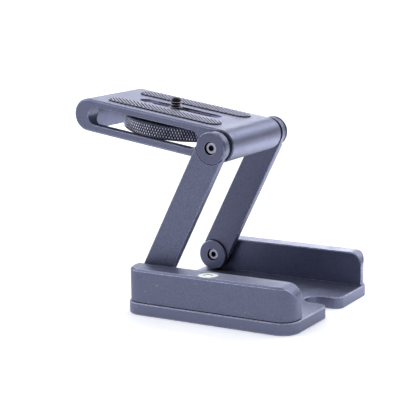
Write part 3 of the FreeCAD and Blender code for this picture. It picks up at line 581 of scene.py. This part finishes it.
def black_acetal(name):
    """Dull black plastic of the friction rings and the shoe, faintly scuffed."""
    material, tree, shader = start_material(name)
    grain = use_group(tree, GRAIN, Grain_Size=0.4 * MM, Mottle_Size=0.8 * MM, Cloud_Size=4.0 * MM)
    dress(tree, shader, Base_Color=mix_colour(tree, grain.outputs["Cloud"], *ACETAL_TONES),
          Roughness=map_range(tree, grain.outputs["Grain"], 0.0, 1.0, 0.58, 0.70),
          Specular_IOR_Level=0.06, Specular_Tint=VIOLET_SHEEN,
          Normal=bump(tree, grain.outputs["Height"], 0.35, 0.01 * MM))
    return material


def grip_rubber(name):
    """Grey-violet rubber, paler on the rib tops partly from a painted sheen, with painted shade in
    the grooves and down the sides.
    """
    material, tree, shader = start_material(name)
    grain = use_group(tree, GRAIN, Grain_Size=0.3 * MM, Mottle_Size=0.7 * MM, Cloud_Size=6.0 * MM)
    spot = use_group(tree, TILTED_PLACE, Origin=UPPER_PIVOT)
    height = add_node(tree, "ShaderNodeAttribute", {}, attribute_name="rib_height").outputs["Fac"]
    rib = mix_colour(tree, mottled(tree, grain, 0.6), *RIB_TONE_AND_PAINTED_SHEEN)
    # painted shade in the grooves
    colour = mix_colour(tree, map_range(tree, height, 0.70, 0.97), GROOVE_PAINTED_SHADE, rib)
    skirt = map_range(tree, spot.outputs["Facing Up"], 0.2, 0.35, 1.0, 0.0)
    # painted shade down the sides of the pad
    dress(tree, shader, Base_Color=mix_colour(tree, skirt, colour, SKIRT_PAINTED_SHADE),
          Roughness=map_range(tree, grain.outputs["Grain"], 0.0, 1.0, 0.36, 0.50),
          Specular_IOR_Level=1.0, Specular_Tint=VIOLET_SHEEN,
          Normal=bump(tree, grain.outputs["Height"], 0.6, 0.03 * MM))
    return material


def knurled_rim(name):
    """Anodised knurl, painted near black for the shade it sits in, stud tips rubbed bright."""
    material, tree, shader = start_material(name)
    spot = use_group(tree, TILTED_PLACE, Origin=WHEEL_CENTRE)
    grain = use_group(tree, GRAIN, Grain_Size=0.2 * MM, Mottle_Size=0.6 * MM, Cloud_Size=5.0 * MM)
    tip = map_range(tree, spot.outputs["Radius"], WHEEL_RADIUS - 0.70 * KNURL_DEPTH,
                    WHEEL_RADIUS - 0.15 * KNURL_DEPTH)
    patchy = map_range(tree, grain.outputs["Cloud"], 0.1, 0.8, 0.6, 1.0)
    rubbed = math_node(tree, "MULTIPLY", tip, patchy)
    colour = mix_colour(tree, grain.outputs["Cloud"], *KNURL_SHADED_TONES)
    dress(tree, shader, Base_Color=mix_colour(tree, rubbed, colour, KNURL_BRIGHT),
          Roughness=map_range(tree, rubbed, 0.0, 1.0, 0.44, 0.26), Metallic=0.85,
          Normal=bump(tree, grain.outputs["Height"], 0.4, 0.01 * MM))
    return material


def level_plastic(name):
    """Glossy white moulding of the bubble level."""
    material, tree, shader = start_material(name)
    grain = use_group(tree, GRAIN, Grain_Size=0.6 * MM, Mottle_Size=0.8 * MM, Cloud_Size=3.0 * MM)
    dress(tree, shader, Base_Color=mix_colour(tree, grain.outputs["Cloud"], *LEVEL_TONES),
          Roughness=map_range(tree, grain.outputs["Cloud"], 0.0, 1.0, 0.38, 0.48),
          Normal=bump(tree, grain.outputs["Height"], 0.1, 0.01 * MM))
    return material


def level_window(name, centre):
    """Clear dome over pale green-yellow fluid, with the centring ring and the bubble."""
    material, tree, shader = start_material(name)
    radius = distance_from_axis(tree, centre, (1, 1, 0))
    noise = add_node(tree, "ShaderNodeTexNoise",
                     {"Vector": object_place(tree), "Scale": 900.0, "Detail": 2.0})
    ring_gap = math_node(tree, "ABSOLUTE", math_node(tree, "SUBTRACT", radius, LEVEL_RING_RADIUS))
    ring = map_range(tree, ring_gap, LEVEL_RING_FULL, LEVEL_RING_GONE, 0.5, 0.0)
    rim = map_range(tree, radius, LEVEL_RIM_RADIUS, LEVEL_RIM_RADIUS + SOFT_BORDER)
    dark = math_node(tree, "MAXIMUM", ring, rim)
    bubble = map_range(tree, radius, 0.9 * BUBBLE_RADIUS, BUBBLE_RADIUS, 1.0, 0.0)
    colour = mix_colour(tree, noise.outputs["Fac"], *FLUID_TONES)
    colour = mix_colour(tree, bubble, colour, BUBBLE_PALE)
    dress(tree, shader, Base_Color=mix_colour(tree, dark, colour, LEVEL_LINE),
          Roughness=0.25, Coat_Weight=0.2, Normal=bump(tree, bubble, 0.5, 0.1 * MM))
    return material


ARM_ANODISED = anodised_aluminium("anodised_arms", roughness=(0.47, 0.57))
# Heavier dust on the plate and far wall: real specks, and also painted light that lifts the shaded
# channel floor.
BASE_ANODISED = anodised_aluminium("anodised_base", edge_width=0.5 * MM, dust=0.6)
NEAR_WALL_ANODISED = anodised_aluminium("anodised_near_wall", edge_width=0.5 * MM,
                                        roughness=(0.47, 0.57), dust=0.5, painted_seam_shade=True)
PLATFORM_ANODISED = anodised_aluminium("anodised_platform", painted_track_light_and_shade=True)
CAP_ANODISED = anodised_aluminium("anodised_caps", CAP_TONES, wear_and_highlight=0.9,
                                  roughness=(0.34, 0.42), dust=0.0, painted_rim_shade=True)
# the wheel's darker tones are painted shade
WHEEL_ANODISED = anodised_aluminium("anodised_wheel", WHEEL_SHADED_TONES, wear_and_highlight=0.25, dust=0.0)
BLACK_STEEL = black_steel("black_oxide_steel")
LOWER_PIVOT_STEEL = pivot_steel("lower_pivot_steel", LOWER_PIVOT)
UPPER_PIVOT_STEEL = pivot_steel("upper_pivot_steel", UPPER_PIVOT)
THREAD_STEEL = thread_steel("thread_steel")
TURNED_STEEL = turned_steel("turned_steel")
ACETAL = black_acetal("black_acetal")
RUBBER = grip_rubber("grip_rubber")
KNURL = knurled_rim("knurled_rim")
LEVEL_WHITE = level_plastic("level_white")

# ------------------------------------------------------------------ CAD nodes that stay
CAD_FINISHES = {
    "base_plate": BASE_ANODISED,
    "near_side_wall": NEAR_WALL_ANODISED,
    "far_side_wall": BASE_ANODISED,
    "near_arm": ARM_ANODISED,
    "far_arm": ARM_ANODISED,
    "platform": PLATFORM_ANODISED,
    "near_lower_cap": CAP_ANODISED,
    "far_lower_cap": CAP_ANODISED,
    "near_upper_cap": CAP_ANODISED,
    "far_upper_cap": CAP_ANODISED,
    "wall_screws": BLACK_STEEL,
    "lower_pivot_screws": LOWER_PIVOT_STEEL,
    "upper_pivot_screws": UPPER_PIVOT_STEEL,
    "sliding_shoe": ACETAL,
    "retaining_clip": BLACK_STEEL,
    "tripod_bushing": TURNED_STEEL,
    "near_lower_washer": ACETAL,
    "far_lower_washer": ACETAL,
    "near_upper_spacer": ACETAL,
    "far_upper_spacer": ACETAL,
    "lower_cap_washers": ACETAL,
    "upper_cap_washers": ACETAL,
    "level_housing": LEVEL_WHITE,
}


def finish_cad_nodes():
    for node, material in CAD_FINISHES.items():
        mesh = frame["nodes"][node].data
        mesh.materials.clear()
        mesh.materials.append(material)


# ------------------------------------------------------------------ geometry node helpers
def geometry_tree(name, inputs):
    """An empty geometry tree with named inputs. Gives the tree, inputs and output node."""
    tree = bpy.data.node_groups.new(name, "GeometryNodeTree")
    for label, kind, default in inputs:
        socket = tree.interface.new_socket(label, in_out="INPUT", socket_type=kind)
        if default is not None:
            socket.default_value = default
    tree.interface.new_socket("Geometry", in_out="OUTPUT", socket_type="NodeSocketGeometry")
    return tree, tree.nodes.new("NodeGroupInput"), tree.nodes.new("NodeGroupOutput")


def end_tree(tree, given, result, geometry, weld):
    """Close the geometry's seams, make it real and give it its finish."""
    merged = add_node(tree, "GeometryNodeMergeByDistance", {"Geometry": geometry, "Distance": weld})
    real = add_node(tree, "GeometryNodeRealizeInstances", {"Geometry": merged.outputs[0]})
    finished = add_node(tree, "GeometryNodeSetMaterial",
                        {"Geometry": real.outputs[0], "Material": given.outputs["Finish"]})
    tree.links.new(finished.outputs[0], result.inputs[0])


def grown_mesh(name, tree, values, place):
    """The mesh that a geometry tree makes from its named inputs, put in its place."""
    host = bpy.data.objects.new(name + "_host", bpy.data.meshes.new(name + "_seed"))
    bpy.context.scene.collection.objects.link(host)
    modifier = host.modifiers.new("grow", "NODES")
    modifier.node_group = tree
    for item in tree.interface.items_tree:
        if item.in_out == "INPUT" and item.name in values:
            modifier[item.identifier] = values[item.name]
    evaluated = host.evaluated_get(bpy.context.evaluated_depsgraph_get())
    mesh = bpy.data.meshes.new_from_object(evaluated)
    host.modifiers.remove(modifier)
    bpy.data.objects.remove(host)
    mesh.name = name
    mesh.transform(place)
    return mesh


def knurled_band_tree():
    """Band with two families of crossing V grooves, cut from a grid that is rolled round the
    axis: outer face first, then back along a plain inner face, so that the ring closes."""
    tree, given, result = geometry_tree("knurled_band", [
        ("Radius", FLOAT, 30.0 * MM), ("Inner Radius", FLOAT, 28.0 * MM),
        ("Height", FLOAT, 6.7 * MM), ("Flat Face", FLOAT, 5.5 * MM),
        ("Groove Depth", FLOAT, 0.6 * MM), ("Tip Flat", FLOAT, 0.25), ("Diamonds", WHOLE, 100),
        ("Steps", WHOLE, 8), ("Rows", WHOLE, 20), ("Finish", MATERIAL, None)])
    calc = partial(math_node, tree)
    radius = given.outputs["Radius"]
    steps = given.outputs["Steps"]
    rows = given.outputs["Rows"]
    columns = calc("MULTIPLY", given.outputs["Diamonds"], steps)
    around = calc("ADD", columns, 1.0)
    # A section has rows + 1 points outside, two inside, and its first point once more.
    section = calc("ADD", rows, 4.0)
    grid = add_node(tree, "GeometryNodeMeshGrid", {"Vertices X": around, "Vertices Y": section})
    index = tree.nodes.new("GeometryNodeInputIndex").outputs[0]
    column = calc("FLOOR", calc("DIVIDE", calc("ADD", index, 0.5), section))
    row = calc("SUBTRACT", index, calc("MULTIPLY", column, section))
    row = calc("MODULO", row, calc("ADD", rows, 3.0))
    inside = calc("GREATER_THAN", row, calc("ADD", rows, 0.5))
    inside_low = calc("GREATER_THAN", row, calc("ADD", rows, 1.5))
    inside_high = calc("SUBTRACT", inside, inside_low)
    outside_row = calc("MULTIPLY", row, calc("SUBTRACT", 1.0, inside))
    level = calc("MULTIPLY_ADD", rows, inside_high, outside_row)
    share = calc("SUBTRACT", calc("DIVIDE", level, rows), 0.5)
    height = calc("MULTIPLY", share, given.outputs["Height"])
    diamond = None
    for operation in ("ADD", "SUBTRACT"):
        family = calc("DIVIDE", calc(operation, column, level), steps)
        ridge = calc("PINGPONG", calc("MULTIPLY", family, 2.0), 1.0)
        diamond = ridge if diamond is None else calc("MINIMUM", diamond, ridge)
    slope = calc("SUBTRACT", 1.0, given.outputs["Tip Flat"])
    diamond = calc("MINIMUM", calc("DIVIDE", diamond, slope), 1.0)
    sunk = calc("MULTIPLY", calc("SUBTRACT", 1.0, diamond), given.outputs["Groove Depth"])
    cut = calc("SUBTRACT", radius, sunk)
    half_face = calc("MULTIPLY", given.outputs["Flat Face"], 0.5)
    past = calc("SUBTRACT", calc("ABSOLUTE", height), half_face)
    bevelled = calc("SUBTRACT", radius, calc("MAXIMUM", past, 0.0))
    outside = calc("MINIMUM", cut, bevelled)
    inward = calc("MULTIPLY", inside, calc("SUBTRACT", given.outputs["Inner Radius"], outside))
    reach = calc("ADD", outside, inward)
    angle = calc("MULTIPLY", calc("DIVIDE", column, columns), 2 * math.pi)
    spot = add_node(tree, "ShaderNodeCombineXYZ",
                    {"X": calc("MULTIPLY", calc("COSINE", angle), reach),
                     "Y": calc("MULTIPLY", calc("SINE", angle), reach), "Z": height})
    rolled = add_node(tree, "GeometryNodeSetPosition",
                      {"Geometry": grid.outputs["Mesh"], "Position": spot.outputs[0]})
    end_tree(tree, given, result, rolled.outputs[0], KNURL_WELD)
    return tree


def ribbed_pad_tree():
    """Stadium-shaped pad whose top carries slanting ribs: a grid laid out over the outline,
    raised by the ribs, closed by a skirt and a flat underside."""
    tree, given, result = geometry_tree("ribbed_pad", [
        ("Length", FLOAT, 75.0 * MM), ("Width", FLOAT, 12.0 * MM), ("Thickness", FLOAT, 1.2 * MM),
        ("Rib Pitch", FLOAT, 2.5 * MM), ("Rib Depth", FLOAT, 0.4 * MM),
        ("Points Along", WHOLE, 481), ("Points Across", WHOLE, 61), ("Finish", MATERIAL, None)])
    calc = partial(math_node, tree)
    grid = add_node(tree, "GeometryNodeMeshGrid",
                    {"Size X": 2.0, "Size Y": 2.0, "Vertices X": given.outputs["Points Along"],
                     "Vertices Y": given.outputs["Points Across"]})
    place = add_node(tree, "ShaderNodeSeparateXYZ",
                     {"Vector": tree.nodes.new("GeometryNodeInputPosition").outputs[0]})
    half_length = calc("MULTIPLY", given.outputs["Length"], 0.5)
    half_width = calc("MULTIPLY", given.outputs["Width"], 0.5)
    along = calc("MULTIPLY", place.outputs["X"], half_length)
    straight = calc("SUBTRACT", half_length, half_width)
    past = calc("SUBTRACT", calc("ABSOLUTE", along), straight)
    past = calc("MAXIMUM", past, 0.0)
    square = calc("SUBTRACT", calc("MULTIPLY", half_width, half_width), calc("MULTIPLY", past, past))
    chord = calc("SQRT", calc("MAXIMUM", square, 0.0))
    across = calc("MULTIPLY", place.outputs["Y"], chord)
    slant = calc("ADD", along, across)
    phase = calc("DIVIDE", slant, given.outputs["Rib Pitch"])
    wave = calc("COSINE", calc("MULTIPLY", phase, 2 * math.pi))
    rib = map_range(tree, wave, RIB_FOOT, RIB_SHOULDER)
    below_top = calc("SUBTRACT", rib, 1.0)
    sunk = calc("MULTIPLY", below_top, given.outputs["Rib Depth"])
    top_place = add_node(tree, "ShaderNodeCombineXYZ", {"X": along, "Y": across, "Z": sunk})
    stored = add_node(tree, "GeometryNodeStoreNamedAttribute",
                      {"Geometry": grid.outputs["Mesh"], "Name": "rib_height", "Value": rib},
                      data_type="FLOAT", domain="POINT")
    top = add_node(tree, "GeometryNodeSetPosition",
                   {"Geometry": stored.outputs[0], "Position": top_place.outputs[0]})
    below = calc("MULTIPLY", given.outputs["Thickness"], -1.0)
    bottom_place = add_node(tree, "ShaderNodeCombineXYZ", {"X": along, "Y": across, "Z": below})
    bottom = add_node(tree, "GeometryNodeSetPosition",
                      {"Geometry": grid.outputs["Mesh"], "Position": bottom_place.outputs[0]})
    flipped = add_node(tree, "GeometryNodeFlipFaces", {"Mesh": bottom.outputs[0]})
    faces_here = tree.nodes.new("GeometryNodeInputMeshEdgeNeighbors").outputs[0]
    border = add_node(tree, "FunctionNodeCompare", {2: faces_here, 3: 1}, data_type="INT",
                      operation="EQUAL")
    skirt = add_node(tree, "GeometryNodeExtrudeMesh",
                     {"Mesh": top.outputs[0], "Selection": border.outputs[0], "Offset Scale": 0.0},
                     mode="EDGES")
    foot = add_node(tree, "ShaderNodeCombineXYZ",
                    {"X": place.outputs["X"], "Y": place.outputs["Y"], "Z": below})
    skirted = add_node(tree, "GeometryNodeSetPosition",
                       {"Geometry": skirt.outputs["Mesh"], "Selection": skirt.outputs["Top"],
                        "Position": foot.outputs[0]})
    joined = tree.nodes.new("GeometryNodeJoinGeometry")
    tree.links.new(flipped.outputs[0], joined.inputs[0])
    tree.links.new(skirted.outputs[0], joined.inputs[0])
    end_tree(tree, given, result, joined.outputs[0], WELD)
    return tree


# ------------------------------------------------------------------ thumbwheel
def make_thumbwheel():
    """Turned body with a dish under it, and the knurled band let into its rim."""
    groove_floor = WHEEL_RADIUS - KNURL_DEPTH
    shoulder = WHEEL_BEVEL - KNURL_DEPTH
    dish_floor = WHEEL_BOTTOM + WHEEL_DISH_DEPTH
    profile = [
        (SCREW_BORE, WHEEL_BOTTOM),
        (WHEEL_HUB_RADIUS, WHEEL_BOTTOM),
        (WHEEL_HUB_RADIUS, dish_floor),
        (WHEEL_DISH_RADIUS, dish_floor),
        (WHEEL_DISH_MOUTH, WHEEL_BOTTOM),
        (WHEEL_RADIUS - WHEEL_BEVEL, WHEEL_BOTTOM),
        (groove_floor, WHEEL_BOTTOM + shoulder),
        (groove_floor, WHEEL_TOP - shoulder),
        (WHEEL_RADIUS - WHEEL_BEVEL, WHEEL_TOP),
        (WHEEL_BOSS_RADIUS, WHEEL_TOP),
        (WHEEL_BOSS_RADIUS, WHEEL_BOSS_TOP),
        (SCREW_BORE, WHEEL_BOSS_TOP),
        (SCREW_BORE, WHEEL_BOTTOM),
    ]
    body_mesh = lathe("thumbwheel_body", profile, WHEEL_SEGMENTS, WHEEL_FRAME)
    shade_by_angle(body_mesh)
    body = new_piece("thumbwheel_body", body_mesh, "thumbwheel", WHEEL_ANODISED)
    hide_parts("thumbwheel")
    rim_height = WHEEL_TOP - WHEEL_BOTTOM
    middle = Matrix.Translation((0, 0, (WHEEL_BOTTOM + WHEEL_TOP) / 2))
    values = {"Radius": WHEEL_RADIUS, "Inner Radius": groove_floor - KNURL_SEAT,
              "Height": rim_height - 2 * shoulder, "Flat Face": rim_height - 2 * WHEEL_BEVEL,
              "Groove Depth": KNURL_DEPTH, "Tip Flat": KNURL_FLAT, "Diamonds": KNURL_COUNT,
              "Steps": KNURL_STEPS, "Rows": KNURL_ROWS, "Finish": KNURL}
    band = grown_mesh("thumbwheel_knurl", knurled_band_tree(), values, WHEEL_FRAME @ middle)
    new_piece("thumbwheel_knurl", band, "thumbwheel", KNURL)


# ------------------------------------------------------------------ camera screw
def thread_radius(height, angle):
    """Radius of a right-hand thread's surface, with narrow flats at crest and root."""
    phase = (height / THREAD_PITCH - angle / (2 * math.pi)) % 1.0
    from_crest = abs(2 * phase - 1)
    sunk = min(max((from_crest - THREAD_CREST_FLAT) / THREAD_FLANK, 0.0), 1.0)
    return SCREW_RADIUS - THREAD_DEPTH * sunk


def build_thread(bm):
    """Rings of the thread's surface up to the screw's 45 degree point, closed at both ends."""
    length = SCREW_TOP - THREAD_START
    rows = int(length / THREAD_PITCH * THREAD_ROWS)
    rings = []
    for row in range(rows + 1):
        height = THREAD_START + length * row / rows
        point = SCREW_RADIUS - SCREW_POINT + SCREW_TOP - height
        ring = []
        for column in range(THREAD_COLUMNS):
            angle = 2 * math.pi * column / THREAD_COLUMNS
            radius = min(thread_radius(height, angle), point)
            ring.append(bm.verts.new((radius * math.cos(angle), radius * math.sin(angle), height)))
        rings.append(ring)
    for lower, upper in zip(rings, rings[1:]):
        for column in range(THREAD_COLUMNS):
            after = (column + 1) % THREAD_COLUMNS
            bm.faces.new([lower[column], lower[after], upper[after], upper[column]])
    bm.faces.new(rings[-1])
    bm.faces.new(list(reversed(rings[0])))


def make_camera_screw():
    thread = mesh_from("camera_screw_thread", build_thread, WHEEL_FRAME)
    shade_by_angle(thread, 40)
    stud = new_piece("camera_screw_thread", thread, "thumbwheel", THREAD_STEEL)
    profile = [(0, WHEEL_BOTTOM), (SCREW_RADIUS, WHEEL_BOTTOM), (SCREW_RADIUS, THREAD_START),
               (0, THREAD_START)]
    shank = lathe("camera_screw_shank", profile, SHANK_SEGMENTS, WHEEL_FRAME)
    shade_by_angle(shank)
    new_piece("camera_screw_shank", shank, "thumbwheel", BLACK_STEEL)
    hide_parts("camera_screw")


# ------------------------------------------------------------------ grip pads
def make_grip_pads():
    tree = ribbed_pad_tree()
    for side, name in ((-1, "near_grip_pad"), (1, "far_grip_pad")):
        place = PLATFORM_FRAME @ Matrix.Translation((-PAD_CENTRE, side * PAD_OFFSET, PAD_TOP))
        values = {"Length": PAD_LENGTH, "Width": PAD_WIDTH, "Thickness": PAD_TOP - PAD_BOTTOM,
                  "Rib Pitch": RIB_PITCH, "Rib Depth": RIB_DEPTH,
                  "Points Along": PAD_POINTS_ALONG, "Points Across": PAD_POINTS_ACROSS,
                  "Finish": RUBBER}
        mesh = grown_mesh(name + "_ribbed", tree, values, place)
        pad = new_piece(name + "_ribbed", mesh, "platform", RUBBER)
        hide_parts(name)


# ------------------------------------------------------------------ bubble level
def make_level_window():
    low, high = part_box("level_vial")
    centre = (low + high) / 2
    radius = (high.x - low.x) / 2
    profile = [(0, low.z), (radius, low.z), (radius, high.z - LEVEL_BULGE)]
    for step in range(LEVEL_RINGS, -1, -1):
        share = step / LEVEL_RINGS
        height = high.z - LEVEL_BULGE * share * share
        profile.append((LEVEL_DOME_SHARE * radius * share, height))
    middle = Matrix.Translation((centre.x, centre.y, 0))
    mesh = lathe("level_window", profile, LEVEL_SEGMENTS, middle)
    shade_by_angle(mesh, 50)
    finish = level_window("level_window", centre)
    window = new_piece("level_window", mesh, "base", finish)
    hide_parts("level_vial")


# ------------------------------------------------------------------ studio
CAMERA_PLACE = Vector((357.506, -667.152, 207.193)) * MM
CAMERA_AZIMUTH = 0.5214          # angles are in radians
CAMERA_DIP = 0.1993
CAMERA_ROLL = -0.0099
CAMERA_LENS = 116.88             # millimetres
SENSOR_WIDTH = 36.0              # millimetres
COOL_WHITE = (0.945, 0.955, 1.0)
WORLD_STRENGTH = 0.03

FLOOR_REACH = 20.0
FLOOR_DROP = 0.05 * MM           # below the base's underside, so that the two never flicker
FLOOR_GLOW = {"Everywhere": 0.13, "Far_Off": 0.45, "Farthest": 0.55}
FAR_FLOOR = (0.5, 1.2)           # distances over which the far floor brightens
FARTHEST_FLOOR = (1.2, 2.6)
GLOW_PATCHES = (                 # centre, radius and strength
    ((0.15, 0.14, 0), 0.20, 2.6),
    ((0.06, 0.30, 0), 0.25, 1.05),
    ((0.01, -0.09, 0), 0.19, 0.26),
)

LIGHT_TARGET = (0.0, 0.0, 0.06)
SOFT_LIGHTS = (                  # name, place, size and power in watts
    ("overhead", (0.0, 0.0, 1.5), (1.2, 1.2), 6.2),
    ("back_left_high", (-0.8, 1.1, 1.1), (1.2, 0.9), 9.6),
    ("back_right_high", (0.6, 1.2, 1.1), (1.2, 0.9), 13.5),
    ("back_left_low", (-0.95, 1.35, 0.36), (1.0, 0.4), 3.5),
    ("back_middle_low", (-0.35, 1.6, 0.36), (0.8, 0.4), 5.2),
    ("back_right_low", (0.45, 1.55, 0.36), (0.8, 0.4), 0.9),
    ("right_high", (1.15, 0.1, 1.0), (1.1, 0.9), 3.6),
    ("left_high", (-1.15, -0.2, 1.0), (1.1, 0.9), 9.0),
    ("front_left_high", (-0.6, -1.0, 1.1), (1.0, 0.8), 5.7),
)


def make_camera():
    forward = Vector((-math.sin(CAMERA_AZIMUTH) * math.cos(CAMERA_DIP),
                      math.cos(CAMERA_AZIMUTH) * math.cos(CAMERA_DIP), -math.sin(CAMERA_DIP)))
    level_right = Vector((math.cos(CAMERA_AZIMUTH), math.sin(CAMERA_AZIMUTH), 0))
    level_up = level_right.cross(forward)
    right = math.cos(CAMERA_ROLL) * level_right + math.sin(CAMERA_ROLL) * level_up
    up = math.cos(CAMERA_ROLL) * level_up - math.sin(CAMERA_ROLL) * level_right
    data = bpy.data.cameras.new("camera")
    data.lens = CAMERA_LENS
    data.sensor_width = SENSOR_WIDTH
    data.clip_start = 0.01
    data.clip_end = 50.0
    camera = bpy.data.objects.new("camera", data)
    camera.matrix_world = frame_at(CAMERA_PLACE, right, up, -forward)
    bpy.context.scene.collection.objects.link(camera)
    bpy.context.scene.camera = camera


def floor_glow_group():
    """Light of the pale floor: a little everywhere, more far off and in soft round patches."""
    inputs = [("Everywhere", FLOAT, 0.1), ("Far Off", FLOAT, 0.4), ("Farthest", FLOAT, 0.3)]
    tree, given, result = shader_group("floor_glow", inputs, [("Glow", FLOAT)])
    place = object_place(tree)
    distance = vector_node(tree, "LENGTH", place)
    glow = given.outputs["Everywhere"]
    for (low, high), label in ((FAR_FLOOR, "Far Off"), (FARTHEST_FLOOR, "Farthest")):
        ring = map_range(tree, distance, low, high, steps="SMOOTHSTEP")
        glow = math_node(tree, "MULTIPLY_ADD", ring, given.outputs[label], glow)
    for centre, radius, strength in GLOW_PATCHES:
        away = vector_node(tree, "DISTANCE", place, centre)
        patch = map_range(tree, away, 0.0, radius, strength, 0.0, steps="SMOOTHSTEP")
        glow = math_node(tree, "ADD", glow, patch)
    tree.links.new(glow, result.inputs["Glow"])
    return tree


def make_floor():
    def build(bm):
        corners = [(-1, -1), (1, -1), (1, 1), (-1, 1)]
        bm.faces.new([bm.verts.new((x * FLOOR_REACH, y * FLOOR_REACH, -FLOOR_DROP))
                      for x, y in corners])

    mesh = mesh_from("floor", build)
    material, tree, shader = start_material("pale_floor")
    noise = add_node(tree, "ShaderNodeTexNoise", {"Vector": object_place(tree), "Scale": 3.0})
    glow = use_group(tree, floor_glow_group(), **FLOOR_GLOW)
    cool_glow = mix_colour(tree, 1.0, glow.outputs["Glow"], (*COOL_WHITE, 1), blend="MULTIPLY")
    dress(tree, shader, Base_Color=mix_colour(tree, noise.outputs["Fac"], *FLOOR_TONES),
          Roughness=0.9, Specular_IOR_Level=0.1, Emission_Color=cool_glow, Emission_Strength=1.0)
    floor = bpy.data.objects.new("floor", mesh)
    bpy.context.scene.collection.objects.link(floor)
    mesh.materials.append(material)


def add_area_light(name, place, aim, size, power):
    data = bpy.data.lights.new(name, "AREA")
    data.shape = "RECTANGLE"
    data.size = size[0]
    data.size_y = size[1]
    data.energy = power
    data.color = COOL_WHITE
    light = bpy.data.objects.new(name, data)
    light.location = place
    light.rotation_euler = (Vector(aim) - Vector(place)).to_track_quat("-Z", "Y").to_euler()
    bpy.context.scene.collection.objects.link(light)


def make_lights():
    world = bpy.data.worlds.new("studio")
    world.use_nodes = True
    background = world.node_tree.nodes["Background"]
    background.inputs["Color"].default_value = (*COOL_WHITE, 1)
    background.inputs["Strength"].default_value = WORLD_STRENGTH
    bpy.context.scene.world = world
    for name, place, size, power in SOFT_LIGHTS:
        add_area_light(name, place, LIGHT_TARGET, size, power)


bpy.context.scene.view_settings.view_transform = "Standard"
make_camera()
make_floor()
make_lights()
finish_cad_nodes()
make_thumbwheel()
make_camera_screw()
make_grip_pads()
make_level_window()

bpy.context.view_layer.update()
